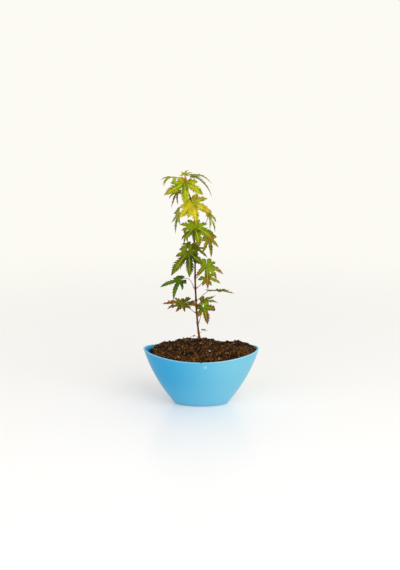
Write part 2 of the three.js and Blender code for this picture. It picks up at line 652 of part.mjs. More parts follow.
function add(name, geometry, finish) {
  const material = new THREE.MeshStandardMaterial({ ...FINISHES[finish], metalness: 0 });
  const mesh = new THREE.Mesh(geometry, material);
  mesh.name = name;
  maple.add(mesh);
}

add('planter', planter().geometry(), 'planter');
add('compost', compost().geometry(), 'compost');
add('stem', stem().geometry(), 'bark');
add('young_leaves', youngLeaves(), 'tip');
LEAVES.forEach((leaf, i) => add(leaf.name, leafGeometry(leaf, i), leaf.colour));

export default maple;
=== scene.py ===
import math
from collections import namedtuple

import bpy
import numpy as np
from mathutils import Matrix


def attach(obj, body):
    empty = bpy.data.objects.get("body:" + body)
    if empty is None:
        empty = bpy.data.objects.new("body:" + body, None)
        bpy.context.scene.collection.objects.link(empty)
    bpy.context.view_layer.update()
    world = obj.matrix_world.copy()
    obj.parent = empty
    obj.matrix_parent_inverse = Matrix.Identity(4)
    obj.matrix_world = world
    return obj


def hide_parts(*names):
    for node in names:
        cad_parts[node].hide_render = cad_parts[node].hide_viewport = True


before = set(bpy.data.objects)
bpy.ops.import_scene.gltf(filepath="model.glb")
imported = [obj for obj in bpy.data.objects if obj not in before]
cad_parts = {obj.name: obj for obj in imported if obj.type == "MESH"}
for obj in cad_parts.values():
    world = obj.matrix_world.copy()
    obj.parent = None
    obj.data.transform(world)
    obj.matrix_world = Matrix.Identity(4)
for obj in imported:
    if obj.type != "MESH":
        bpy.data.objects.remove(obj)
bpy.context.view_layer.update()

# The view. The photograph looks a little down on the planter's long side from a metre and a half away,
# in a tall frame of 400 by 570 pixels with the plant left of the middle.
LOOK_DOWN = math.radians(12.9)
VIEW_DISTANCE = 1.5
VIEW_TARGET = (-0.0022, 0.0, 0.211)
LENS = 55.7

camera_data = bpy.data.cameras.new("view")
camera_data.lens = LENS
camera_data.sensor_width = 36.0
camera = bpy.data.objects.new("view", camera_data)
bpy.context.scene.collection.objects.link(camera)
camera.location = (
    VIEW_TARGET[0],
    VIEW_TARGET[1] - VIEW_DISTANCE * math.cos(LOOK_DOWN),
    VIEW_TARGET[2] + VIEW_DISTANCE * math.sin(LOOK_DOWN),
)
camera.rotation_euler = (math.pi / 2 - LOOK_DOWN, 0.0, 0.0)
bpy.context.scene.camera = camera
bpy.context.scene.view_settings.view_transform = "Standard"

# The planter: one moulded shell of satin plastic, oval in plan, its rim rising to both ends like a boat's.
# The wall is 3 mm through at the rounded lip and thinner where it slopes in to the flat oval foot. Its
# colour
# holds painted light and shade: the blue is deeper at the left end as painted shade and paler towards the
# right as painted light, paler near the foot as a painted reflection of the table, with a painted highlight
# along the lip and one painted glint under the front rim.
# Sizes are in millimetres, but what a material reads, such as the painted glint's place, is in metres.
PLANTER_LENGTH, PLANTER_WIDTH = 200.0, 110.0
BULGE_LENGTH, BULGE_WIDTH, BULGE_HEIGHT = 168.8, 92.0, 0.463
FOOT_LENGTH, FOOT_WIDTH = 92.0, 44.0
END_HEIGHT, WAIST_HEIGHT = 100.0, 90.0
WALL, FLOOR, LIP, FOOT_ROUND = 3.0, 3.0, 1.2, 2.5
FOOT_STEP, FOOT_TURNS, FOOT_RISE, FLOOR_HALVES = 8.0, (18, 36, 54, 72), 0.035, ((40.0, 16.0), (0.0, 0.0))
PLANTER_AROUND, OUTSIDE_WAYS, LIP_ROWS, INSIDE_WAYS = 256, (0.045, 0.985, 44), 13, (0.97, 0.04, 30)
# How far below the rim's top the painted highlight on the lip reaches, then the place and reach of one
# painted glint under the front rim.
LIP_SHINE, LIP_HIGHLIGHT_OFFSET, GLINT_PLACE, GLINT_REACH = 1.2, 1.5, (0.0068, -0.0515, 0.0815), (0.0005, 0.005)


def linear(red, green, blue):
    """A colour given as it shows on a screen, 0 to 255, made linear: each part divided by 255 and raised to
    the power 2.2."""
    return tuple((np.array([red, green, blue]) / 255.0) ** 2.2) + (1.0,)


def quadratic(first, middle, last, way):
    """The quadratic curve from first to last drawn towards middle: weights (1-w)^2, 2w(1-w) and w^2."""
    return first * (1 - way) ** 2 + 2 * middle * way * (1 - way) + last * way**2


def weld(points, triangles, *facts):
    """Points that share a place, to a ten-thousandth of a millimetre, become one, triangles that lose a side
    go, and facts follow their points."""
    keys = np.round(points * 1e4).astype(np.int64)
    _, first, whole = np.unique(keys, axis=0, return_index=True, return_inverse=True)
    triangles = whole.reshape(-1)[triangles]
    a, b, c = triangles.T
    triangles = triangles[(a != b) & (b != c) & (c != a)]
    return (points[first], triangles, *(fact[first] for fact in facts))


def make_piece(name, points, triangles, finish, smooth=True, facts=None):
    """An object at the origin from points in millimetres, with its finish and an attribute for each fact."""
    mesh = bpy.data.meshes.new(name)
    mesh.vertices.add(len(points))
    mesh.vertices.foreach_set("co", (np.asarray(points) * 0.001).astype(np.float32).ravel())
    mesh.loops.add(3 * len(triangles))
    mesh.loops.foreach_set("vertex_index", np.asarray(triangles, dtype=np.int32).ravel())
    mesh.polygons.add(len(triangles))
    mesh.polygons.foreach_set("loop_start", np.arange(0, 3 * len(triangles), 3, dtype=np.int32))
    mesh.update(calc_edges=True)
    flags = np.broadcast_to(smooth, len(triangles)).astype(bool)
    mesh.polygons.foreach_set("use_smooth", flags)
    for fact, values in (facts or {}).items():
        mesh.attributes.new(fact, "FLOAT", "POINT").data.foreach_set("value", values.astype(np.float32))
    mesh.materials.append(finish)
    mesh.validate()
    piece = bpy.data.objects.new(name, mesh)
    bpy.context.scene.collection.objects.link(piece)
    return piece


def ring_skin(rings):
    """Triangles over rings of equal count, each ring closed on itself, the faces out where rings grow with
    their points counter-clockwise. Rings whose points all share one place close the ends."""
    count, around = rings.shape[:2]
    index = np.arange(count * around).reshape(count, around)
    low, high = index[:-1], index[1:]
    low_next, high_next = np.roll(low, -1, axis=1), np.roll(high, -1, axis=1)
    first = np.stack([low, low_next, high_next], -1).reshape(-1, 3)
    second = np.stack([low, high_next, high], -1).reshape(-1, 3)
    return rings.reshape(-1, 3), np.concatenate([first, second])


def turns(count):
    """Angles of points evenly round a circle."""
    return np.linspace(0, 2 * np.pi, count, endpoint=False)


def level_ring(angle, half, height):
    """Points of an oval at one height: its half axes times the angle's cosine and sine."""
    return np.stack([half[0] * np.cos(angle), half[1] * np.sin(angle), height + 0 * angle], -1)


def rim_height(x):
    """Height of the rim: lowest at the middle, and rising with the square of x to both ends."""
    return WAIST_HEIGHT + (END_HEIGHT - WAIST_HEIGHT) * (2 * x / PLANTER_LENGTH) ** 2


def planter_ring(angle, way, inset=0.0):
    """Points of the planter's outer face: an oval whose half axes follow quadratic curves in way, from the
    foot at 0 to the rim at 1, less the inset. Its height is such a curve times the rim's height there."""
    half_x = quadratic(FOOT_LENGTH, BULGE_LENGTH, PLANTER_LENGTH, way) / 2 - inset
    half_y = quadratic(FOOT_WIDTH, BULGE_WIDTH, PLANTER_WIDTH, way) / 2 - inset
    rim = rim_height(PLANTER_LENGTH / 2 * np.cos(angle))
    height = quadratic(0.0, BULGE_HEIGHT, 1.0, way) * rim
    return level_ring(angle, (half_x, half_y), height)


def planter_rings():
    """The whole shell as one run of rings: under the foot, up the outside, over the lip and down inside."""
    angle = turns(PLANTER_AROUND)
    rings = []
    for inset in (FOOT_LENGTH / 2, FOOT_STEP, FOOT_ROUND):
        half = (FOOT_LENGTH / 2 - inset, max(FOOT_WIDTH / 2 - inset, 0.0))
        rings.append(level_ring(angle, half, 0.0))
    for turn in np.radians(FOOT_TURNS):
        way = FOOT_RISE * (1 - math.cos(turn))
        rings.append(planter_ring(angle, way, FOOT_ROUND * (1 - math.sin(turn))))
    rings += [planter_ring(angle, way) for way in np.linspace(*OUTSIDE_WAYS)]
    for turn in np.radians(np.linspace(0, 180, LIP_ROWS)):
        ring = planter_ring(angle, 1.0, WALL / 2 * (1 - math.cos(turn)))
        ring[:, 2] -= LIP * (1 - math.sin(turn))
        rings.append(ring)
    rings += [planter_ring(angle, way, WALL) for way in np.linspace(*INSIDE_WAYS)]
    rings += [level_ring(angle, half, FLOOR) for half in FLOOR_HALVES]
    return np.array(rings)


class Wire:
    """One number or colour on its way through a finish. Arithmetic on it adds Math nodes."""

    def __init__(self, finish, socket):
        self.finish, self.socket = finish, socket

    def reckon(self, operation, *others):
        settings = {"operation": operation}
        return self.finish.node("ShaderNodeMath", settings, dict(enumerate(others)))

    def __add__(self, other):
        return self.reckon("ADD", self, other)

    def __sub__(self, other):
        return self.reckon("SUBTRACT", self, other)

    def __rsub__(self, other):
        return self.reckon("SUBTRACT", other, self)

    def __mul__(self, other):
        return self.reckon("MULTIPLY", self, other)

    __radd__ = __add__
    __rmul__ = __mul__

    def part(self):
        return self.reckon("FRACT", self)

    def size(self):
        return self.reckon("ABSOLUTE", self)

    def most(self, other):
        return self.reckon("MAXIMUM", self, other)

    def step(self, low, high):
        """0 below low, 1 above high and a smooth rise between."""
        settings = {"interpolation_type": "SMOOTHSTEP"}
        sockets = {"Value": self, "From Min": low, "From Max": high}
        return self.finish.node("ShaderNodeMapRange", settings, sockets)


class Finish:
    """A material, or what else has a node tree, whose nodes are written as expressions."""

    def __init__(self, name, owner=None):
        self.owner = owner or bpy.data.materials.new(name)
        self.owner.use_nodes = True
        self.tree = self.owner.node_tree
        self.tree.nodes.clear()

    def node(self, kind, settings=None, sockets=None, out=0):
        """Adds a node: its settings first, then the values or wires of its sockets."""
        node = self.tree.nodes.new(kind)
        for key, value in (settings or {}).items():
            setattr(node, key, value)
        for key, value in (sockets or {}).items():
            if isinstance(value, Wire):
                self.tree.links.new(value.socket, node.inputs[key])
            else:
                node.inputs[key].default_value = value
        return Wire(self, node.outputs[out]) if node.outputs else None

    def vector(self, operation, *values, out=0):
        settings = {"operation": operation}
        return self.node("ShaderNodeVectorMath", settings, dict(enumerate(values)), out)

    def place(self):
        return self.node("ShaderNodeTexCoord", out="Object")

    def axis(self, letter):
        """One coordinate of the place, in metres."""
        return self.node("ShaderNodeSeparateXYZ", None, {0: self.place()}, out=letter)

    def fact(self, name):
        return self.node("ShaderNodeAttribute", {"attribute_name": name}, out="Fac")

    def noise(self, scale, detail=3.0, roughness=0.5, stretch=None):
        place = self.place()
        if stretch:
            place = self.vector("MULTIPLY", place, stretch)
        sockets = {"Vector": place, "Scale": scale, "Detail": detail, "Roughness": roughness}
        return self.node("ShaderNodeTexNoise", None, sockets)

    def blend(self, share, first, second):
        """The first colour where share is 0 and the second where it is 1."""
        sockets = {"Factor": share, 6: first, 7: second}
        return self.node("ShaderNodeMix", {"data_type": "RGBA"}, sockets, out=2)

    def bump(self, height, distance, strength=1.0):
        sockets = {"Height": height, "Distance": distance, "Strength": strength}
        return self.node("ShaderNodeBump", None, sockets)

    def mixed(self, share, first, second):
        """The first shader where share is 0 and the second where it is 1."""
        return self.node("ShaderNodeMixShader", None, {0: share, 1: first, 2: second})

    def principled(self, **sockets):
        named = {key.replace("_", " "): value for key, value in sockets.items()}
        return self.node("ShaderNodeBsdfPrincipled", None, named)

    def done(self, shader):
        self.node("ShaderNodeOutputMaterial", None, {"Surface": shader})
        return self.owner

    def coated(self, **sockets):
        """The material whose whole surface is one principled shader."""
        return self.done(self.principled(**sockets))


def satin_plastic():
    finish = Finish("satin_plastic")
    cloud = finish.noise(9.0, 2.0)
    grain = finish.noise(900.0, 2.0)
    scuff = finish.noise(60.0, 5.0, 0.7, (1.0, 1.0, 4.0)).step(0.6, 0.8)
    # Painted light and shade: the blue runs from a deeper left end, in painted shade, to a paler right end,
    # in painted light, and is paler near the foot as a painted reflection of the table.
    right = finish.axis("X").step(-0.07, 0.07)
    low = 1 - finish.axis("Z").step(0.0, 0.06)
    blue = finish.blend(right, linear(28, 147, 197), linear(108, 182, 207))
    blue = finish.blend(low * 0.3, blue, linear(124, 200, 226))
    blue = finish.blend(cloud * 0.2, blue, linear(84, 178, 220))
    blue = finish.blend(scuff * 0.1, blue, linear(160, 204, 224))
    # A painted highlight along the lip, where the rim catches the light.
    blue = finish.blend(finish.fact("lip") * 0.28, blue, linear(176, 222, 240))
    # One painted glint under the front rim: a small pale spot round one place.
    from_glint = finish.vector("DISTANCE", finish.place(), GLINT_PLACE, out="Value")
    blue = finish.blend((1 - from_glint.step(*GLINT_REACH)) * 0.3, blue, linear(208, 236, 246))
    return finish.coated(
        Base_Color=blue,
        Roughness=0.34 + 0.06 * cloud + 0.1 * scuff,
        IOR=1.5,
        Specular_IOR_Level=0.3,
        Coat_Weight=0.2,
        Coat_Roughness=0.15,
        Normal=finish.bump(grain + 0.4 * scuff, 0.00002, 0.25),
    )


planter_skin = weld(*ring_skin(planter_rings()))
# The lip fact is 1 along the top of the rim and fades to 0 below it; the finish paints a highlight there.
planter_above = planter_skin[0][:, 2] - rim_height(planter_skin[0][:, 0])
lip = np.clip(planter_above / LIP_SHINE + LIP_HIGHLIGHT_OFFSET, 0, 1)
planter = make_piece("planter_shell", *planter_skin, satin_plastic(), facts={"lip": lip})
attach(planter, "root")
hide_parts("planter")

# The compost: loose, dark, peaty potting mix, heaped over the rim towards the stem and settled a little
# lower at the left end. Its body is one lumpy skin under crumbs and clumps of several browns. One white
# grain shows at the front, and one crumb lies on the rim.
COMPOST_CLEAR, COMPOST_EDGE, LEFT_EDGE, RIGHT_EDGE = 0.8, 0.95, 0.885, 0.985
COMPOST_SAG, COMPOST_HEAP, COMPOST_MOUND, MOUND_REACH = 4.5, 23.5, 2.6, 0.12
HEAP_POWER, EDGE_POWER, END_POWER = 4, 8, 4
RIGHT_HOLLOW, LEFT_HOLLOW = (38.0, 19.0, 6.0), (-52.0, 16.0, 3.0)
STEM_FOOT = (-3.0, 8.0, 112.0)
LUMP_SIZES, LUMP_HEIGHTS, LUMPS_SUNK = (26.0, 9.0), (1.0, 0.8), 0.8
ROUGH_SIZE, ROUGH_HEIGHT = 3.2, 0.5
COMPOST_AROUND, COMPOST_ROWS, WALL_WAYS, UNDER_WAY = 320, 96, (0.1, 0.88, 12), 0.05
CRUMB_COLOURS = {
    "black": linear(18, 10, 3),
    "dark": linear(50, 30, 8),
    "brown": linear(100, 63, 20),
    "rust": linear(130, 84, 32),
    "ochre": linear(164, 122, 54),
    "grey": linear(186, 168, 128),
}
FINE_SHARES = (0.26, 0.27, 0.24, 0.12, 0.07, 0.04)
COARSE_SHARES = (0.3, 0.3, 0.25, 0.11, 0.04, 0.0)
CLUMP_SHARES = (0.3, 0.42, 0.28, 0.0, 0.0, 0.0)
CRUMB_PRESS = np.array([(1.0, 0.8, 0.4), (1.5, 0.5, 0.4), (1.0, 0.85, 0.75)])
CRUMB_FORMS, CLUMP_FORMS = (0.35, 0.2, 0.45), (0.2, 0.0, 0.8)
FINE_CRUMBS, COARSE_CRUMBS, CLUMPS = 8200, 1500, 420
CRUMB_SPREAD, CRUMB_SINK, CRUMB_MIDDLING, RIM_ROOM = (0.0004, 0.985), (-0.45, 0.3), (1.2, 3.4), 60.0
STRAYS = {
    "white_grain": ((14.1, -31.6, 103.6), (1.3, 1.0, 1.1), linear(230, 224, 208)),
    "crumb_on_the_rim": ((-0.6, -54.5, 90.2), (1.3, 1.1, 1.0), linear(44, 28, 12)),
}

random = np.random.default_rng(7)


def ripples(x, y, size, seed, waves=14):
    """A rough field, mostly from -1 to 1: twice the mean of sine waves of about one size, each with a seeded
    direction, shift and length."""
    draw = np.random.default_rng(seed)
    turn, shift = draw.uniform(0, 2 * np.pi, (2, waves))
    pitch = 2 * np.pi / (size * draw.uniform(0.7, 1.6, waves))
    total = 0.0
    for a, b, k in zip(turn, shift, pitch):
        total = total + np.sin(k * (x * math.cos(a) + y * math.sin(a)) + b)
    return 2.0 * total / waves


def bell(distance, reach):
    """1 at distance 0, falling away as the exponential of minus the square of distance / reach."""
    return np.exp(-((distance / reach) ** 2))


def compost_spot(angle, reach):
    """A point of the heap's top: reach 0 is the stem's foot and 1 the edge at the wall. Its height is the
    rim's there less the sag, plus the heap less a hollow on either side, times 1 - reach^4, with broad and
    small lumps. The edge lies lower at the left end and higher at the right, which counts with reach^8, and
    a small mound stands round the stem."""
    end = np.where(np.cos(angle) < 0, LEFT_EDGE, RIGHT_EDGE)
    way = COMPOST_EDGE + (end - COMPOST_EDGE) * np.cos(angle) ** END_POWER
    edge = planter_ring(angle, way, WALL + COMPOST_CLEAR)
    settled = edge[..., 2] - rim_height(PLANTER_LENGTH / 2 * np.cos(angle)) + COMPOST_SAG
    x = STEM_FOOT[0] + (edge[..., 0] - STEM_FOOT[0]) * reach
    y = STEM_FOOT[1] + (edge[..., 1] - STEM_FOOT[1]) * reach
    hollows = (deep * bell(x - at, wide) for at, wide, deep in (RIGHT_HOLLOW, LEFT_HOLLOW))
    heap = (COMPOST_HEAP - sum(hollows)) * (1 - reach**HEAP_POWER)
    waves = zip(LUMP_HEIGHTS, LUMP_SIZES, (1, 2))
    lumps = sum(high * ripples(x, y, size, seed) for high, size, seed in waves) - LUMPS_SUNK
    height = rim_height(x) - COMPOST_SAG + heap + settled * reach**EDGE_POWER
    height = height + np.clip(3 * reach, 0, 1) * lumps
    return np.stack([x, y, height + COMPOST_MOUND * bell(reach, MOUND_REACH)], -1)


def compost_rings():
    """The body as one run of rings: under it, up along the wall and inwards over the heap to the stem."""
    angle = turns(COMPOST_AROUND)
    inset = WALL + COMPOST_CLEAR
    under = planter_ring(angle, UNDER_WAY, inset)
    under[:, 2] = FLOOR + COMPOST_CLEAR
    rings = [under * (0, 0, 1), under]
    rings += [planter_ring(angle, way, inset) for way in np.linspace(*WALL_WAYS)]
    for reach in np.linspace(1, 0, COMPOST_ROWS):
        ring = compost_spot(angle, reach)
        ring[:, 2] += ROUGH_HEIGHT * ripples(ring[:, 0], ring[:, 1], ROUGH_SIZE, 3) * min(1.0, 8 * reach)
        rings.append(ring)
    return np.array(rings)


def peat():
    finish = Finish("peat")
    clod = finish.noise(420.0, 6.0, 0.65)
    patch = finish.noise(70.0, 3.0)
    colour = finish.blend(clod.step(0.35, 0.7), linear(24, 14, 5), linear(92, 56, 20))
    colour = finish.blend(patch.step(0.5, 0.75) * 0.5, colour, linear(104, 66, 34))
    return finish.coated(
        Base_Color=colour,
        Specular_IOR_Level=0.2,
        Roughness=0.82 + 0.15 * clod,
        Normal=finish.bump(clod, 0.0012, 0.9),
    )


def crumb_finish(name, colour):
    finish = Finish("crumb_" + name)
    spot = finish.noise(700.0, 4.0, 0.65)
    darker = tuple(0.3 * part for part in colour[:3]) + (1.0,)
    lighter = tuple(min(1.0, 1.5 * part) for part in colour[:3]) + (1.0,)
    mottled = finish.blend(spot.step(0.34, 0.6), darker, colour)
    return finish.coated(
        Base_Color=finish.blend(spot.step(0.62, 0.75), mottled, lighter),
        Specular_IOR_Level=0.2,
        Roughness=0.72 + 0.25 * spot,
        Normal=finish.bump(spot, 0.0008, 1.0),
    )


def ball(level):
    """Points and triangles of a ball of 20 faces, each cut in four level times."""
    golden = (1 + math.sqrt(5)) / 2
    base = [(-1, golden, 0), (1, golden, 0), (-1, -golden, 0), (1, -golden, 0)]
    points = np.array(base + [(z, x, y) for x, y, z in base] + [(y, z, x) for x, y, z in base], float)
    gap = np.linalg.norm(points[:, None] - points[None], axis=-1)
    near = (gap > 0.1) & (gap < 2.1)
    a, b, c = [grid.ravel() for grid in np.meshgrid(*[np.arange(12)] * 3, indexing="ij")]
    keep = (a < b) & (b < c) & near[a, b] & near[b, c] & near[a, c]
    triangles = np.stack([a, b, c], -1)[keep]
    corners = points[triangles]
    facing = np.cross(corners[:, 1] - corners[:, 0], corners[:, 2] - corners[:, 0])
    inward = np.sum(facing * corners[:, 0], axis=1) < 0
    triangles[inward] = triangles[inward][:, ::-1]
    for _ in range(level):
        corners = points[triangles]
        middles = (corners + np.roll(corners, -1, axis=1)) / 2
        points = np.concatenate([corners, middles], axis=1).reshape(-1, 3)
        start = 6 * np.arange(len(triangles))[:, None]
        cut = np.concatenate([start + part for part in ([0, 3, 5], [3, 1, 4], [5, 4, 2], [3, 4, 5])])
        points, triangles = weld(points, cut)
    return points / np.linalg.norm(points, axis=1)[:, None], triangles


def crumbs(name, count, level, least, most, jag, forms, shares):
    """Crumbs strewn evenly over the heap and half sunk in: each a ball whose points are moved in and out by
    seeded numbers, jag being the most, and then pressed. forms holds the shares of chips, splinters and
    lumps, and shares those of the colours. Their radii lie from least to most and shrink near the rim."""
    angle = random.uniform(0, 2 * np.pi, count)
    reach = np.sqrt(random.uniform(*CRUMB_SPREAD, count))
    middle = compost_spot(angle, reach)
    radius = least + (most - least) * random.beta(*CRUMB_MIDDLING, count)
    radius = radius * np.clip((1 - reach) * RIM_ROOM / radius, 0.4, 1.0)
    middle[:, 2] += radius * random.uniform(*CRUMB_SINK, count)
    points, triangles = ball(level)
    press = CRUMB_PRESS[random.choice(3, count, p=forms)][:, None]
    press = press * random.uniform(0.85, 1.15, (count, 1, 3))
    dents = random.uniform(1 - jag, 1 + jag, (count, len(points), 1))
    turn = np.linalg.qr(random.normal(size=(count, 3, 3)))[0]
    turn[np.linalg.det(turn) < 0, :, 0] *= -1
    shapes = np.einsum("nij,nvj->nvi", turn, points[None] * dents * press)
    placed = middle[:, None] + radius[:, None, None] * shapes
    colour = random.choice(len(shares), count, p=shares)
    for i, (shade, tint) in enumerate(CRUMB_COLOURS.items()):
        chosen = placed[colour == i]
        if not len(chosen):
            continue
        faces = (triangles + len(points) * np.arange(len(chosen))[:, None, None]).reshape(-1, 3)
        title = f"{name}_{shade}"
        piece = make_piece(title, chosen.reshape(-1, 3), faces, crumb_finish(title, tint), smooth=False)
        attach(piece, "root")


compost = make_piece("compost_body", *weld(*ring_skin(compost_rings())), peat())
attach(compost, "root")
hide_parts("compost")
crumbs("fine_crumbs", FINE_CRUMBS, 0, 0.6, 1.7, 0.3, CRUMB_FORMS, FINE_SHARES)
crumbs("coarse_crumbs", COARSE_CRUMBS, 1, 1.4, 3.2, 0.3, CRUMB_FORMS, COARSE_SHARES)
crumbs("clumps", CLUMPS, 2, 2.4, 4.2, 0.14, CLUMP_FORMS, CLUMP_SHARES)
for stray, (place, size, tint) in STRAYS.items():
    stray_points, stray_triangles = ball(2)
    stray_points = place + stray_points * size * random.uniform(0.88, 1.12, (len(stray_points), 1))
    loose = make_piece(stray, stray_points, stray_triangles, crumb_finish(stray, tint), smooth=False)
    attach(loose, "root")

# The stem: one season's thin wood, upright with a lean to the left at the top. The bark is brown below and
# reddish above, swollen at each pair of leaf stalks, with fine ridges, pale pores and a small flare at the
# foot. It stands a little way into the compost.
STEM_LINE = np.array(
    [
        STEM_FOOT, (-4.5, 7.5, 124), (-6.5, 7, 142), (-8, 6.5, 161.5), (-9, 5.5, 183), (-10, 5, 204.5),
        (-10.5, 4, 223), (-10.5, 3.5, 248), (-11.5, 2, 282), (-11, 0.5, 318), (-12.5, 0, 334.5),
        (-17.5, -0.5, 356), (-21.5, -1, 370), (-26, -1.5, 384),
    ],
    float,
)
STEM_FOOT_RADIUS, STEM_TIP_RADIUS = 1.7, 1.0
FLARE, FLARE_REACH, NODE_SWELL, NODE_LENGTH = 1.0, 4.0, 0.4, 3.0
STEM_SUNK, STEM_ROWS, STEM_AROUND = 3.0, 620, 28
STEM_RIDGES, STEM_WRINKLES = ((0.035, 5, 0.05), (0.03, 9, -0.11)), (0.03, 1.9)
NODES = (
    117, 124, 142, 161, 172, 183, 204.5, 223, 274, 281,
    283, 295, 309, 318, 330, 348, 358, 379, 381, 382,
)


def through(points, count):
    """A smooth line through points, evenly walked: each stretch is the cubic whose end slopes weigh the
    neighbours by the square root of their distance."""
    before = 2 * points[0] - points[1]
    after = 2 * points[-1] - points[-2]
    line = np.concatenate([[before], points, [after]])
    stretches = []
    way = np.linspace(0, 1, 40, endpoint=False)[:, None]
    for p, q, r, s in zip(line[:-3], line[1:-2], line[2:-1], line[3:]):
        d0, d1, d2 = [math.sqrt(np.linalg.norm(v)) for v in (q - p, r - q, s - r)]
        slope_q = d1 * ((q - p) / d0 - (r - p) / (d0 + d1) + (r - q) / d1)
        slope_r = d1 * ((r - q) / d1 - (s - q) / (d1 + d2) + (s - r) / d2)
        cubic = 2 * q - 2 * r + slope_q + slope_r
        square = -3 * q + 3 * r - 2 * slope_q - slope_r
        stretches.append(q + slope_q * way + square * way**2 + cubic * way**3)
    dense = np.concatenate([*stretches, points[-1:]])
    run = np.concatenate([[0], np.cumsum(np.linalg.norm(np.diff(dense, axis=0), axis=1))])
    even = np.linspace(0, run[-1], count)
    return np.stack([np.interp(even, run, dense[:, i]) for i in range(3)], -1)


def tube_rings(line, radius, around):
    """Rings across a line: points at radius in the plane square to the line, the ends closed on their
    middles. radius is one number a ring, or one for each point of each ring."""
    along = np.gradient(line, axis=0)
    along /= np.linalg.norm(along, axis=1)[:, None]
    steep = np.abs(along[:, 2:]) > 0.8
    guide = np.where(steep, (1.0, 0.0, 0.0), (0.0, 0.0, 1.0))
    across = guide - np.sum(guide * along, axis=1)[:, None] * along
    across /= np.linalg.norm(across, axis=1)[:, None]
    beside = np.cross(along, across)
    angle = turns(around)
    wide = np.broadcast_to(np.reshape(radius, (len(line), -1)), (len(line), around))[..., None]
    turned = across[:, None] * np.cos(angle)[:, None] + beside[:, None] * np.sin(angle)[:, None]
    rings = line[:, None] + wide * turned
    ends = [np.repeat(line[i : i + 1], around, axis=0)[None] for i in (0, len(line) - 1)]
    return np.concatenate([ends[0], rings, ends[1]])


def stem_radius(height):
    """Taper from foot to tip, plus a bell at the ground and a small bell at each node."""
    ground, top = STEM_LINE[0][2], STEM_LINE[-1][2]
    taper = STEM_FOOT_RADIUS + (STEM_TIP_RADIUS - STEM_FOOT_RADIUS) * (height - ground) / (top - ground)
    flare = FLARE * bell(height - ground, FLARE_REACH)
    swell = np.max([bell(height - node, NODE_LENGTH) for node in NODES], axis=0)
    return taper + flare + NODE_SWELL * swell


def bark():
    finish = Finish("bark")
    streak = finish.noise(500.0, 4.0, 0.6, (1.0, 1.0, 0.12))
    fleck = finish.noise(1500.0, 2.0)
    young = finish.axis("Z").step(0.14, 0.2)
    colour = finish.blend(streak.step(0.3, 0.7), linear(62, 38, 13), linear(132, 90, 42))
    fresh = finish.blend(streak.step(0.3, 0.7), linear(50, 19, 6), linear(98, 45, 16))
    colour = finish.blend(young, colour, fresh)
    colour = finish.blend(fleck.step(0.66, 0.74) * 0.5, colour, linear(150, 130, 96))
    return finish.coated(
        Base_Color=colour,
        Specular_IOR_Level=0.05,
        Roughness=0.65 + 0.25 * streak,
        Normal=finish.bump(streak + 0.5 * fleck, 0.0002, 0.7),
    )


stem_line = through(STEM_LINE, STEM_ROWS)
stem_line[0] -= (0, 0, STEM_SUNK)
stem_turn = turns(STEM_AROUND)[None]
stem_height = np.maximum(stem_line[:, 2:], STEM_LINE[0][2])
ridges = sum(deep * np.sin(count * stem_turn + twist * stem_height) for deep, count, twist in STEM_RIDGES)
wrinkle_deep, wrinkle_pace = STEM_WRINKLES
wrinkles = wrinkle_deep * np.sin(wrinkle_pace * stem_height + 2 * np.sin(2 * stem_turn))
stem_wide = stem_radius(stem_height) * (1 + ridges + wrinkles)
stem = make_piece("stem_bark", *weld(*ring_skin(tube_rings(stem_line, stem_wide, STEM_AROUND))), bark())
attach(stem, "root")
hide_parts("stem")

# The leaves: palm-shaped, each a fan of pointed, toothed lobes joined by a web round the stalk. Lobes fold
# up along their midribs, droop and twist; the blade is thin, paler beneath, with a ridge under each midrib.
# Young leaves at the top are yellow and green, old ones lower down brown and red from the tips inwards.
WEB, LOBE_WIDTH, WEB_FOLD, EAR, EAR_ROOM = 0.23, 0.112, 14.0, 36.0, 3.0
LOBE_BLUNT, LOBE_TAPER, LOBE_BROADEST, LENGTH_SHARE = 0.12, 1.05, 0.26, 0.7
TWIST, VEER, VEER_POWER, DROOP_VARIES, DROOP_POWER = 28.0, 18.0, 1.5, 0.35, 1.3
TOOTH_ROOM, TOOTH_DEEP, TOOTH_LEAN, TOOTH_PACE, TOOTH_MIDDLE = 4.4, 0.8, 0.8, 0.85, 0.42
TOOTH_TOP, BACK_TOOTH_TOP, BACK_TOOTH, TOOTH_VARIES, TOOTH_FADES = 0.8, 0.7, 0.3, 0.35, 0.35
RUFFLE, PLEAT, WAVE, WAVE_PACE, VEIN_SLANT = 0.16, 0.16, 1.1, 4.2, 0.75
BLADE_THICK, RIB_THICK, RIB_WIDE = 0.26, 0.4, 0.09
ROWS_A_TOOTH, WEB_ROWS = 12, 9
ACROSS = np.array([-1, -0.86, -0.68, -0.5, -0.32, -0.16, -0.06, 0, 0.06, 0.16, 0.32, 0.5, 0.68, 0.86, 1])
MAP_PART, UPPER_MAP, LOWER_MAP, WALL_MAP = 0.485, (0.005, 0.03), (0.505, 0.03), (0.002, 0.018)
FIVE = [(0, 1), (48, 0.85), (-48, 0.85), (98, 0.52), (-98, 0.52)]
SEVEN = [(0, 1), (46, 0.93), (-46, 0.93), (92, 0.62), (-92, 0.62), (136, 0.35), (-136, 0.35)]

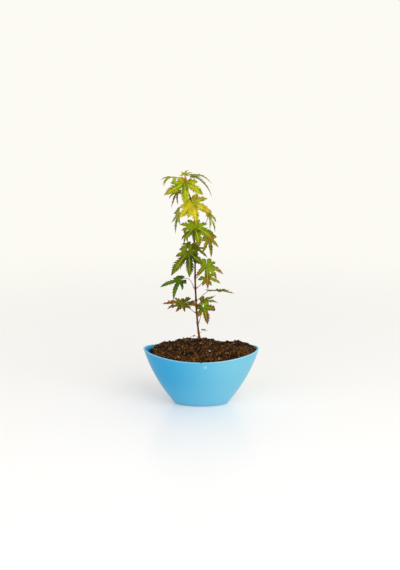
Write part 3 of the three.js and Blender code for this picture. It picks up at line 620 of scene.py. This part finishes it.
# The looks: the blade's own colour, its deeper one, that of the ribs and the autumn tint.
LEAF_COLOURS = {
    "lime": ((184, 192, 18), (96, 118, 8), (202, 206, 54), (160, 118, 24)),
    "gold": ((206, 194, 30), (132, 140, 14), (232, 220, 84), (186, 124, 24)),
    "green": ((136, 154, 10), (56, 82, 4), (184, 190, 50), (136, 98, 26)),
    "moss": ((112, 128, 12), (44, 60, 4), (156, 158, 46), (128, 84, 26)),
    "dark": ((88, 124, 14), (34, 54, 4), (136, 150, 50), (104, 72, 22)),
    "fresh": ((116, 156, 10), (52, 78, 2), (170, 178, 52), (122, 60, 26)),
    "autumn": ((130, 154, 14), (60, 82, 4), (190, 176, 62), (142, 82, 30)),
    "sage": ((166, 176, 74), (98, 112, 34), (200, 200, 112), (150, 124, 56)),
    "pale": ((196, 186, 66), (106, 106, 26), (214, 204, 112), (150, 100, 44)),
    "olive": ((146, 136, 26), (70, 62, 8), (172, 150, 52), (134, 76, 28)),
    "fawn": ((160, 160, 34), (84, 90, 14), (196, 188, 76), (146, 96, 34)),
    "rust": ((112, 132, 22), (54, 64, 8), (172, 122, 58), (158, 76, 42)),
}

# A leaf's row: the height of its node on the stem, the place where its lobes meet, the length of its blade,
# heading, pitch and roll in degrees, the droop at its tip, its look, and how far it has turned to its autumn
# tint. Then the fan of its lobes: each has an angle and a length as a part of the blade's, and where they
# aren't 0, 0 and 1 a droop and a sideways bend of its own and a width. What differs from leaf to leaf comes
# last: how far the lobes fold, how slim, curled and thin they are, the stalk's thickness, and the point that
# a bent stalk is drawn towards.
Leaf = namedtuple(
    "Leaf",
    "node at blade aim droop look turned fan fold slim curl thin stalk via",
    defaults=(WEB_FOLD, 1, 1, 1, 1, None),
)
LEAVES = {
    "leaf_1_right": Leaf(381, (-17.5, 4, 396), 38, (-12, -2, -24), 44, "pale", 0.4,
        [(-12, 0.6, 20), (-36, 1.45, -18), (46, 1.5, -26), (76, 0.45, 10), (-86, 0.5, 20)], fold=35,
        slim=0.5),
    "leaf_1_left": Leaf(381, (-37, 3.5, 393), 32, (180, 8, 4), 40, "lime", 0.35,
        [(0, 1), (30, 1.1, 26), (62, 0.85, 44), (-34, 1.2, 34), (-70, 0.7, 50)], fold=35, slim=0.85),
    "leaf_1_back": Leaf(382, (-28, 11, 397), 19, (70, 42, 0), 60, "lime", 0.2, FIVE, fold=35, slim=0.55),
    "leaf_2_front": Leaf(379, (-27, -12, 386.5), 41, (-90, -58, 0), 20, "lime", 0.3,
        [(2, 1, 0, 0, 1.3), (57, 0.9, 0, 0, 1.35), (-56, 1, 0, 0, 1.35), (-90, 0.62, 10), (94, 0.55),
        (-118, 0.35)], slim=1.06),
    "leaf_2_left": Leaf(358, (-39, 10, 371.5), 30, (-172, -60, -30), 12, "fawn", 0.75,
        [(8, 1.05), (-30, 0.85), (38, 0.9, 0, -16), (-72, 0.5), (80, 0.5)], fold=45, slim=0.7, curl=1.6),
    "leaf_3_front": Leaf(348, (-15, -12, 353), 36, (-90, -52, 0), 20, "gold", 0.3,
        [(-36, 0.98, 0, 0, 1.3), (-12, 0.8, 0, 0, 1.2), (14, 1, 0, 0, 1.4), (60, 1.04, 0, 0, 1.3),
        (116, 0.8, 0, 0, 1.3), (154, 0.6, 0, 0, 1.2), (-68, 0.68), (-110, 0.4)], slim=1.12),
    "leaf_3_back": Leaf(348, (-12.5, 22, 346.5), 30, (84, -40, 0), 24, "lime", 0.3, SEVEN),
    "leaf_4_left": Leaf(330, (-37, 10, 334), 33.5, (-170, -66, -24), 20, "sage", 0.1,
        [(12, 1.1), (-22, 0.75), (40, 0.7), (84, 0.4), (-66, 0.45), (-130, 0.3)], fold=35, slim=0.85),
    "leaf_4_right": Leaf(318, (11, 0, 334.5), 35, (-10, -64, 14), 14, "sage", 0.2,
        [(0, 1), (-26, 0.85), (40, 0.85), (92, 0.4), (-76, 0.35), (150, 0.3)], fold=35, slim=0.85,
        via=(12, 0, 309)),
    "leaf_5_front": Leaf(309, (-11, -14, 313.5), 37, (-90, -52, 0), 20, "green", 0.42,
        [(15, 1, 0, 0, 1.4), (62, 1.14, 10, -12, 1.35), (-36, 0.8, 0, 0, 1.2), (-76, 0.64), (-106, 0.7),
        (-138, 0.52), (152, 0.45), (108, 0.62)], slim=1.12),
    "leaf_5_back": Leaf(309, (-10, 22, 304.5), 32, (100, -44, 0), 24, "moss", 0.2, SEVEN),
    "leaf_6_left": Leaf(295, (-24, 2.5, 300.5), 24, (-160, -72, -20), 20, "fawn", 0.8,
        [(0, 1), (-34, 0.75), (32, 0.8), (84, 0.5), (-90, 0.5)], fold=45, slim=0.85, curl=2),
    "leaf_6_right": Leaf(283, (12.5, 6, 293), 36, (-45, -76, 38), 8, "fawn", 0.35,
        [(2, 1), (-30, 0.85), (33, 0.7), (80, 0.4), (-68, 0.4), (140, 0.3)], fold=40, slim=0.9),
    "leaf_7_front": Leaf(274, (-21.5, -19, 272.5), 46, (-90, -66, 0), 16, "moss", 0.1,
        [(6, 0.95, 0, 0, 1.3), (-37, 1.1, 0, 16, 1.25), (46, 0.7, 0, 0, 1.5), (-70, 0.5), (100, 0.4),
        (-112, 0.3), (150, 0.25)]),
    "leaf_7_left": Leaf(281, (-18.5, -6, 281.5), 26, (-95, -32, 0), 24, "green", 0.45,
        [(58, 0.95), (-60, 0.85), (102, 0.66), (-104, 0.66), (-150, 0.4), (0, 0.34)]),
    "leaf_7_back": Leaf(274, (-11, 24, 270.5), 32, (80, -46, 0), 24, "dark", 0.2, SEVEN),
    "leaf_8_right": Leaf(223, (9, -14, 249), 38, (-90, -52, 0), 20, "autumn", 0.62,
        [(4, 1.15), (-40, 0.74), (64, 0.86), (37, 0.8), (108, 0.42), (148, 0.38), (-92, 0.28),
        (-146, 0.38)]),
    "leaf_9_right": Leaf(204.5, (8, 8, 222.5), 30, (-50, -40, 20), 35, "green", 0.5,
        [(4, 0.62), (48, 0.95), (-46, 0.62), (88, 0.72), (-98, 0.52)]),
    "leaf_9_left": Leaf(204.5, (-36, -4, 220.5), 37.5, (-155, -14, -34), 36, "dark", 0.1,
        [(-10, 1, 0, 0, 1.1), (38, 1.06, 0, 22), (78, 0.56), (118, 0.36), (-46, 0.34), (-88, 0.3),
        (-134, 0.3)], slim=0.8, via=(-19, 3, 230)),
    "leaf_10_right": Leaf(183, (12, 14, 198), 46, (-3, 0, -12), 8, "olive", 0.5,
        [(0, 1), (30, 0.6), (-34, 0.55), (76, 0.35), (-80, 0.3)], fold=40, slim=0.95, curl=1.6),
    "leaf_10_low": Leaf(172, (-1, 16, 177.5), 34, (-5, 6, 24), 14, "fawn", 0.25,
        [(0, 0.92), (30, 0.9), (-38, 0.6), (75, 0.5), (-80, 0.35)], slim=1.15),
    "leaf_11_left": Leaf(161, (-31, -4, 179.5), 35, (-172, 0, -34), 14, "rust", 0.62,
        [(-12, 1.05), (20, 0.86), (-48, 0.55, 20), (-88, 0.4), (54, 0.66), (92, 0.5), (134, 0.5),
        (-132, 0.62, 0, 0, 1.3), (174, 0.78, 0, 0, 1.6)], fold=30, slim=1.1, curl=2.4),
    "leaf_11_right": Leaf(142, (4, -12, 175), 31, (-90, -56, 0), 18, "fresh", 0.8,
        [(16, 1, 0, 0, 1.15), (-32, 0.72), (84, 0.74, 40, 0, 1.5), (-88, 0.42), (138, 0.4)], slim=1.2,
        via=(0, 0, 160)),
    "leaf_12_right": Leaf(124, (3, 6, 130.5), 10, (0, -6, 0), 14, "fresh", 0.05,
        [(0, 1), (60, 0.9), (-60, 0.9), (130, 0.5), (-130, 0.5)], thin=0.5, stalk=0.5),
    "leaf_12_left": Leaf(117, (-11, 6, 120), 9, (180, -10, 0), 20, "fresh", 0.05,
        [(0, 1), (60, 0.9), (-60, 0.9)], thin=0.5, stalk=0.5),
}


def wobble(a, b, c=0):
    """A number from -1 to 1 that depends only on three numbers: the part after the point of a large sine."""
    x = np.sin(a * 12.9898 + b * 78.233 + c * 37.719 + 4.1414) * 43758.5453
    return 2 * (x - np.floor(x)) - 1


def ease(x):
    """0 below 0, 1 above 1 and the cubic 3x^2 - 2x^3 between."""
    x = np.clip(x, 0, 1)
    return x * x * (3 - 2 * x)


def blade_axes(heading, pitch, roll):
    """Forward along the middle lobe, side to its left, and the normal of the upper face."""
    h, p, r = np.radians([heading, pitch, roll])
    forward = np.array([np.cos(p) * np.cos(h), np.cos(p) * np.sin(h), np.sin(p)])
    level = np.array([-np.sin(h), np.cos(h), 0.0])
    over = np.cross(forward, level)
    return forward, level * np.cos(r) + over * np.sin(r), over * np.cos(r) - level * np.sin(r)


def midrib(leaf, seed, angle, reach, bend, stations):
    """The line of a lobe's midrib with its three directions: it starts at the stalk, bends down by the droop
    times (s / blade)^1.3 and aside with u^1.5, and turns about itself with u, u being 0 at the web's edge
    and 1 at the tip. bend adds to the droop and to the sideways turn of this lobe alone."""
    forward, side, normal = blade_axes(*leaf.aim)
    a = math.radians(angle)
    out = forward * math.cos(a) + side * math.sin(a)
    across = side * math.cos(a) - forward * math.sin(a)
    web = WEB * leaf.blade
    u = np.clip((stations - web) / (reach - web), 0, 1)[:, None]
    s = stations[:, None]
    droop = leaf.droop * (1 + DROOP_VARIES * wobble(seed, angle, 2) * u) * (s / leaf.blade) ** DROOP_POWER
    lift = np.radians(droop + bend[0] * u**DROOP_POWER)
    veer = np.radians(VEER * wobble(seed, angle, 3) + bend[1]) * u**VEER_POWER
    flat = out * np.cos(veer) + across * np.sin(veer)
    along = flat * np.cos(lift) - normal * np.sin(lift)
    aside = across * np.cos(veer) - out * np.sin(veer)
    steps = np.diff(s, axis=0) * (along[1:] + along[:-1]) / 2
    place = np.array(leaf.at, float) + np.concatenate([np.zeros((1, 3)), np.cumsum(steps, axis=0)])
    turn = math.radians(TWIST * wobble(seed, angle, 4)) * u
    up = np.cross(along, aside)
    left = aside * np.cos(turn) + up * np.sin(turn)
    raised = up * np.cos(turn) - aside * np.sin(turn)
    above = normal + (raised - normal) * ease(3 * u)
    above /= np.linalg.norm(above, axis=1)[:, None]
    gone = place - leaf.at
    level = np.linalg.norm(gone - (gone @ normal)[:, None] * normal, axis=1)
    return place, along, left, above, u[:, 0], level


def sawtooth(x, top):
    """Rises from 0 to 1 over the first part, top, of each whole step of x and falls back over the rest."""
    part = x % 1.0
    return np.where(part < top, part / top, (1 - part) / (1 - top))


def lobe_outline(u):
    """A lobe's width before its teeth: the root of u + 0.12, times 1 - u to the power 1.05."""
    return np.sqrt(u + LOBE_BLUNT) * (1 - u) ** LOBE_TAPER


def lobe(leaf, seed, entry, gap_right, gap_left):
    """One lobe as a grid of rows along it and columns across. A point lies at its row's midrib, plus the
    half width times the column to the side, plus the fold's rise, ruffles, pleats along the side veins and a
    slow wave. Teeth lean forward: the half width swells in sawtooth steps, each with a smaller tooth on its
    back, and a point slides along the lobe with the column's size."""
    angle, part, *more = entry
    *bend, wide = more + [0, 0, 1][len(more) :]
    blade = leaf.blade
    web, reach = WEB * blade, part * blade
    teeth = max(2, round((reach - web) / (TOOTH_ROOM * min(1, blade / 20))))
    outer = np.linspace(web, reach, ROWS_A_TOOTH * teeth + 1)
    stations = np.concatenate([np.linspace(0, web, WEB_ROWS, endpoint=False), outer])
    place, along, left, above, u, level = midrib(leaf, seed, angle, reach, bend, stations)
    size_of = LOBE_WIDTH * leaf.slim * wide * reach**LENGTH_SHARE * blade ** (1 - LENGTH_SHARE)
    own = size_of / lobe_outline(LOBE_BROADEST)
    inside = stations <= web
    fold = np.radians(WEB_FOLD + (leaf.fold - WEB_FOLD) * ease(2.5 * u))
    columns = ACROSS[None]
    halves = []
    for sign, gap in ((-1, gap_right), (1, gap_left)):
        slope = math.tan(math.radians(gap))
        count = teeth * u**TOOTH_PACE + 0.5 * wobble(seed, angle, sign) + 0.12 * np.sin(9 * u + sign)
        tooth = (1 - BACK_TOOTH) * sawtooth(count, TOOTH_TOP)
        tooth = tooth + BACK_TOOTH * sawtooth(2 * count, BACK_TOOTH_TOP)
        deep = TOOTH_DEEP * (1 + TOOTH_VARIES * wobble(np.floor(count), angle, seed + sign))
        swing = 1 + deep * (tooth - TOOTH_MIDDLE) * ease(5 * u) * (1 - TOOTH_FADES * u)
        meet = level[inside][-1] * slope - own * lobe_outline(0)
        halves.append(np.where(inside, level * slope, own * lobe_outline(u) * swing + meet * (1 - u) ** 6))
    half = np.where(columns < 0, halves[0][:, None], halves[1][:, None])
    size = np.abs(columns)
    flat = np.where(inside, 1.0, np.cos(fold))[:, None] * half * columns
    soft = size ** (1 + 0.35 * (1 - size))
    rise = np.where(inside, np.tan(fold), np.sin(fold))[:, None] * half * soft
    free = ease(4 * u)[:, None]
    veins = (stations / TOOTH_ROOM)[:, None] - VEIN_SLANT * size * half / TOOTH_ROOM
    ripple = np.sin(np.pi * veins + 3 * wobble(seed, angle, 5) + columns)
    ruffle = RUFFLE * leaf.curl * half * free * size**2 * ripple
    pleat = PLEAT * free * 4 * size * (1 - size) * np.cos(2 * np.pi * veins)
    swell = u**1.2 * np.sin(WAVE_PACE * u + 3 * wobble(seed, angle, 6))
    wave = WAVE * leaf.curl * (blade / 40) * swell[:, None]
    lean = TOOTH_LEAN * free * half * size**1.5 * (1 - u[:, None]) ** 0.4
    points = (
        place[:, None]
        + flat[..., None] * left[:, None]
        + (rise + ruffle + pleat + wave)[..., None] * above[:, None]
        + lean[..., None] * along[:, None]
    )
    rib = bell(size, RIB_WIDE) * (1 - 0.7 * u[:, None])
    thick = (BLADE_THICK + RIB_THICK * rib) * leaf.thin * (1 - 0.5 * u[:, None])
    lower = points - thick[..., None] * above[:, None]
    a = math.radians(angle)
    turned = np.array([[math.cos(a), math.sin(a)], [-math.sin(a), math.cos(a)]])
    sheet = np.stack([stations[:, None] + lean, flat], -1) @ turned
    ones = np.ones_like(flat)
    facts = [size * ones, (stations / blade)[:, None] * ones, veins, u[:, None] * ones]
    return points, lower, sheet, facts


def grid_triangles(rows, columns, start):
    """Two triangles for each cell of a grid, facing up where rows run ahead and columns to the left."""
    index = start + np.arange(rows * columns).reshape(rows, columns)
    a, b, c, d = index[:-1, :-1], index[1:, :-1], index[1:, 1:], index[:-1, 1:]
    first, second = np.stack([a, b, c], -1), np.stack([a, c, d], -1)
    return np.concatenate([first.reshape(-1, 3), second.reshape(-1, 3)])


def leaf_blade(leaf, seed):
    """The closed blade: the lobes' grids welded into one sheet, the same sheet below it facing down, and a
    wall along every edge that only one triangle of the sheet has. It returns points, triangles, which
    triangles are wall, facts and the places of the triangles' corners on a flat map."""
    fan = sorted(leaf.fan)
    ear = min(EAR, (360 - fan[-1][0] + fan[0][0]) / 2 - EAR_ROOM)
    parts, triangles, start = [], [], 0
    for i, entry in enumerate(fan):
        right = (entry[0] - fan[i - 1][0]) / 2 if i else ear
        left = (fan[i + 1][0] - entry[0]) / 2 if i + 1 < len(fan) else ear
        points, lower, sheet, facts = lobe(leaf, seed, entry, right, left)
        rows, columns = points.shape[:2]
        triangles.append(grid_triangles(rows, columns, start))
        start += rows * columns
        flat = [v.reshape(rows * columns, -1) for v in (points, lower, sheet, *facts)]
        parts.append(np.concatenate(flat, axis=1))
    table = np.concatenate(parts)
    points, triangles, table = weld(table[:, :3], np.concatenate(triangles), table)
    lower, sheet, facts = table[:, 3:6], table[:, 6:8], table[:, 8:12]
    count = len(points)
    a, b = triangles.ravel(), np.roll(triangles, -1, axis=1).ravel()
    rim = ~np.isin(a * count + b, b * count + a)
    a, b = a[rim], b[rim]
    walls = np.concatenate([np.stack([b, a, a + count], -1), np.stack([b, a + count, b + count], -1)])
    every = np.concatenate([triangles, triangles[:, ::-1] + count, walls])
    is_wall = np.arange(len(every)) >= 2 * len(triangles)
    spread = (sheet - sheet.min(axis=0)) / np.ptp(sheet, axis=0).max() * MAP_PART
    edge, step = np.arange(len(a)) / len(a), (1.0 / len(a), 0)
    near, far = [np.stack([edge, np.full(len(a), line)], -1) for line in WALL_MAP]
    first = np.stack([near + step, near, far], 1)
    second = np.stack([near + step, far, far + step], 1)
    upper = (spread + UPPER_MAP)[triangles]
    maps = np.concatenate([upper, (spread + LOWER_MAP)[triangles[:, ::-1]], first, second])
    facts = {name: np.tile(facts[:, i], 2) for i, name in enumerate(("across", "out", "vein", "lobe"))}
    facts["under"] = np.repeat([0.0, 1.0], count)
    return np.concatenate([points, lower]), every, is_wall, facts, maps


def leaf_finish(name, look, turned):
    """Leaf tissue: the blade's colour deepens in cloudy patches, ribs and side veins are pale, the tint
    grows from the tips and edges inwards the further the leaf has turned, and the underside is paler."""
    blade, deep, ribs, autumn = [linear(*rgb) for rgb in LEAF_COLOURS[look]]
    finish = Finish("tissue_" + name)
    across, out, lobe_way = finish.fact("across"), finish.fact("out"), finish.fact("lobe")
    cloud = finish.noise(48.0, 1.0, 0.5)
    patch = finish.noise(120.0, 3.0, 0.6)
    blotch = finish.noise(330.0, 3.0, 0.6)
    speck = finish.noise(900.0, 3.0, 0.6)
    rib = 1 - across.step(0.04, 0.16)
    line = (finish.fact("vein").part() - 0.5).size()
    side = line.step(0.38, 0.5) * (1 - across.step(0.88, 1.0)) * lobe_way.step(0.0, 0.2)
    fresh = (0.6 * cloud + 0.4 * patch + 0.3 * blotch - 0.05 * across).step(0.5, 0.72)
    colour = finish.blend(fresh, deep, blade)
    bronze = finish.noise(75.0, 2.0, 0.5).step(0.5, 0.68)
    colour = finish.blend(bronze * 0.4, colour, autumn)
    tint_from = 1.15 - 1.05 * turned
    tint = out + 0.22 * across + 0.7 * (patch - 0.5) + 0.5 * (blotch - 0.5)
    tint = tint.step(tint_from, tint_from + 0.3)
    colour = finish.blend(tint * 0.92, colour, autumn)
    colour = finish.blend((0.85 * rib).most(0.35 * side), colour, ribs)
    colour = finish.blend(speck.step(0.6, 0.75) * 0.25, colour, deep)
    pale = finish.blend(0.32, colour, linear(190, 194, 120))
    colour = finish.blend(finish.fact("under"), colour, pale)
    relief = (1 - line.step(0.30, 0.5) * 0.6) * (1 - 0.6 * rib) + 0.5 * blotch + 0.15 * speck
    surface = finish.principled(
        Base_Color=colour,
        Roughness=0.5 + 0.2 * speck,
        Specular_IOR_Level=0.12,
        Normal=finish.bump(relief, 0.0006, 0.8),
    )
    shine_through = finish.node("ShaderNodeBsdfTranslucent", None, {"Color": blade})
    return finish.done(finish.mixed(0.25, surface, shine_through))


for leaf_seed, (leaf_name, leaf) in enumerate(LEAVES.items(), 1):
    leaf_points, leaf_triangles, leaf_walls, leaf_facts, leaf_maps = leaf_blade(leaf, leaf_seed)
    tissue = leaf_finish(leaf_name, leaf.look, leaf.turned)
    blade = make_piece(leaf_name + "_blade", leaf_points, leaf_triangles, tissue, ~leaf_walls, leaf_facts)
    leaf_map = blade.data.uv_layers.new(name="OFBake")
    leaf_map.data.foreach_set("uv", leaf_maps.astype(np.float32).ravel())
    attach(blade, "root")
    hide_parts(leaf_name)

# The stalks: thin round wires of red-brown tissue. Each grows out of its node with a thicker heel, bends
# towards its leaf and runs on a little way under the middle rib.
STALK_BASE, STALK_THIN, STALK_RISE, STALK_BEND = 0.75, 0.5, 40.0, 0.45
STALK_CLEAR, STALK_ROWS, STALK_AROUND = 0.45, 34, 10
HEEL_IN, HEEL_DOWN, HEEL_WIDE, SWELL, SWELL_REACH = 0.3, 0.6, 1.5, 0.25, 0.06
UNDER_RIB, STALK_END = 0.6, 0.35


def stem_middle(height):
    """The stem's middle at a height, read off its walked line."""
    return np.array([np.interp(height, stem_line[:, 2], stem_line[:, i]) for i in range(3)])


def stalk_rings(leaf):
    """Rings along the stalk: a quadratic curve from inside the node to the junction, then straight under the
    middle rib, with the heel's radius easing to the stalk's and a small swelling under the leaf."""
    forward, _, normal = blade_axes(*leaf.aim)
    node = stem_middle(leaf.node)
    stem_wide = stem_radius(leaf.node)
    heart = np.array(leaf.at, float) - normal * (BLADE_THICK + 0.5 * STALK_THIN * leaf.stalk)
    towards = np.array(leaf.via or heart, float)
    away = (towards - node) * (1, 1, 0)
    away /= np.linalg.norm(away)
    rise = math.radians(STALK_RISE)
    root = node + away * (stem_wide + STALK_CLEAR + STALK_BASE * leaf.stalk * math.sin(rise))
    start = away * math.cos(rise) + np.array((0, 0, math.sin(rise)))
    bend = towards if leaf.via else root + start * STALK_BEND * np.linalg.norm(heart - root)
    way = np.linspace(0, 1, STALK_ROWS)[:, None]
    heel = node + away * HEEL_IN * stem_wide - start * HEEL_DOWN
    end = heart + forward * UNDER_RIB * WEB * leaf.blade
    line = np.concatenate([[heel], quadratic(root, bend, heart, way), [end]])
    radius = STALK_THIN + (STALK_BASE - STALK_THIN) * (1 - ease(4 * way[:, 0]))
    radius *= 1 + SWELL * bell(1 - way[:, 0], SWELL_REACH)
    radius = np.concatenate([[HEEL_WIDE * STALK_BASE], radius, [STALK_END * STALK_THIN]])
    return tube_rings(line, leaf.stalk * radius, STALK_AROUND)


def stalk_finish():
    finish = Finish("stalk_skin")
    streak = finish.noise(600.0, 3.0)
    patch = finish.noise(60.0, 2.0)
    colour = finish.blend(patch.step(0.35, 0.7), linear(122, 50, 30), linear(164, 92, 50))
    colour = finish.blend(streak.step(0.4, 0.8) * 0.4, colour, linear(92, 34, 24))
    relief = finish.bump(streak, 0.0001, 0.5)
    return finish.coated(Base_Color=colour, Roughness=0.42 + 0.15 * streak, Normal=relief)


def joined(skins):
    """Several skins as one: their points in a row, and their triangles counted on."""
    starts = np.cumsum([0] + [len(points) for points, _ in skins[:-1]])
    points = np.concatenate([points for points, _ in skins])
    return points, np.concatenate([triangles + start for (_, triangles), start in zip(skins, starts)])


stalk_skins = [weld(*ring_skin(stalk_rings(leaf))) for leaf in LEAVES.values()]
stalks = make_piece("leaf_stalks", *joined(stalk_skins), stalk_finish())
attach(stalks, "root")

# The young leaves at the tip: still folded, slim and downy, orange-red, in a small tuft that shares one
# foot and nods to the front and left.
TIP_COUNT, TIP_LENGTH, TIP_RADIUS, TIP_SEAT, TIP_SUNK = 6, 13.0, 2.3, 0.4, 1.2
TIP_LEAN, MIDDLE_LEAN, TIP_BOW, TIP_NOD = 25.0, 4.0, 1.4, (-3.2, -4.5, 0.0)
TIP_ROWS, TIP_AROUND, TIP_TEETH, TIP_TOOTH = 40, 20, 9, 0.14


def young_leaf(k):
    """One folded leaf: rings along a slightly bowed line whose size follows a half sine wave, each ring a
    drop shape with a groove where the two halves of the blade meet, and toothed along the opposite side. The
    first leaf stands nearly upright, and every other one is shorter."""
    foot = STEM_LINE[-1] + (0, 0, TIP_SEAT + 0.3 * TIP_RADIUS - TIP_SUNK)
    turn = 2 * math.pi * k / TIP_COUNT
    lean = math.radians(TIP_LEAN * (1 + 0.4 * wobble(k, 11)) if k else MIDDLE_LEAN)
    size = 1 - 0.3 * (k % 2)
    way = np.linspace(0, 1, TIP_ROWS)[:, None]
    out = np.array([math.cos(turn), math.sin(turn), 0.0])
    up = out * math.sin(lean) + (0, 0, math.cos(lean))
    line = foot + way * up * TIP_LENGTH * size + out * TIP_BOW * way**2 + np.array(TIP_NOD) * way
    angle = turns(TIP_AROUND)[None]
    girth = TIP_RADIUS * np.maximum(0.08, np.sin(np.pi * (0.15 + 0.85 * way))) ** 0.9
    drop = 1 + 0.35 * np.cos(angle) - 0.3 * np.exp(-((np.cos(angle) + 1) ** 2) * 9)
    tooth = 1 + TIP_TOOTH * np.abs(np.sin(TIP_TEETH * np.pi * way)) * np.clip(np.cos(angle), 0, 1) ** 2
    return weld(*ring_skin(tube_rings(line, girth * drop * tooth, TIP_AROUND)))


def young_finish():
    finish = Finish("young_leaf_skin")
    streak = finish.noise(800.0, 3.0, 0.6, (1.0, 1.0, 0.2))
    colour = finish.blend(streak.step(0.3, 0.75), linear(158, 88, 14), linear(200, 128, 30))
    colour = finish.blend(finish.axis("Z").step(0.391, 0.4) * 0.8, colour, linear(150, 128, 34))
    return finish.coated(
        Base_Color=colour,
        Sheen_Weight=0.05,
        Sheen_Roughness=0.5,
        Specular_IOR_Level=0.2,
        Roughness=0.5 + 0.2 * streak,
        Normal=finish.bump(streak, 0.0002, 0.6),
    )


young_skin = joined([young_leaf(k) for k in range(TIP_COUNT)])
young_leaves = make_piece("young_leaf_tuft", *young_skin, young_finish())
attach(young_leaves, "root")
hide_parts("young_leaves")

# The studio: a plain white table that runs on into a warm white room, faintly glossy so that the planter
# shows in it, with one large soft lamp on the right and a weaker one on the left. The table glows with the
# room's colour further off, and faintly near the planter as painted light that lifts the shade round its
# foot.
# The room gives an even light too, and is dimmer only high on the left in front, so that the plant's left
# sides lie in soft shade.
ROOM_COLOUR = linear(252, 250, 242)
SHADE_WAY, SHADE_DEEP, SHADE_ABOVE = (-0.9, -0.35, 0.25), 0.75, (0.12, 0.4)
TABLE_SIZE, TABLE_LOW, TABLE_FAR = 14000.0, 0.05, (0.15, 1.5)


def table_finish():
    finish = Finish("white_table")
    distance = finish.vector("LENGTH", finish.place(), out="Value")
    # The table glows with the room's colour: wholly far off, where it is the backdrop, and faintly near the
    # planter, a painted light that lifts the shade round its foot.
    far = 0.12 + 0.88 * distance.step(*TABLE_FAR)
    surface = finish.principled(Base_Color=linear(232, 233, 238), Roughness=0.3, Specular_IOR_Level=0.4)
    glow = finish.node("ShaderNodeEmission", None, {"Color": ROOM_COLOUR, "Strength": 1.0})
    return finish.done(finish.mixed(far, surface, glow))


table_corners = np.array([(-1, -1, 0), (1, -1, 0), (1, 1, 0), (-1, 1, 0)]) * TABLE_SIZE / 2
table_corners[:, 2] = -TABLE_LOW
table = make_piece("white_table", table_corners, np.array([(0, 1, 2), (0, 2, 3)]), table_finish())

world = bpy.data.worlds.new("room")
room = Finish("room", world)
way_out = room.node("ShaderNodeTexCoord", out="Generated")
lie = room.vector("DOT_PRODUCT", way_out, SHADE_WAY, out="Value")
above = room.node("ShaderNodeSeparateXYZ", None, {0: way_out}, out="Z")
strength = 1 - SHADE_DEEP * lie.step(0.1, 1.0) * above.step(*SHADE_ABOVE)
glow = room.node("ShaderNodeBackground", None, {"Color": ROOM_COLOUR, "Strength": strength})
room.node("ShaderNodeOutputWorld", None, {"Surface": glow})
bpy.context.scene.world = world


def lamp(name, place, target, width, height, power, colour):
    """A rectangular soft lamp at place that faces target."""
    data = bpy.data.lights.new(name, "AREA")
    data.shape, data.size, data.size_y = "RECTANGLE", width, height
    data.energy, data.color = power, colour
    light = bpy.data.objects.new(name, data)
    bpy.context.scene.collection.objects.link(light)
    light.location = place
    x, y, z = np.array(place) - np.array(target)
    light.rotation_euler = (math.atan2(math.hypot(x, y), z), 0.0, math.atan2(y, x) + math.pi / 2)


lamp("right_lamp", (1.1, -1.5, 1.5), (0, 0, 0.2), 2.0, 1.8, 32.0, (1.0, 0.97, 0.92))
lamp("left_lamp", (-1.2, -1.3, 0.9), (0, 0, 0.1), 2.0, 1.2, 12.0, (0.97, 0.98, 1.0))
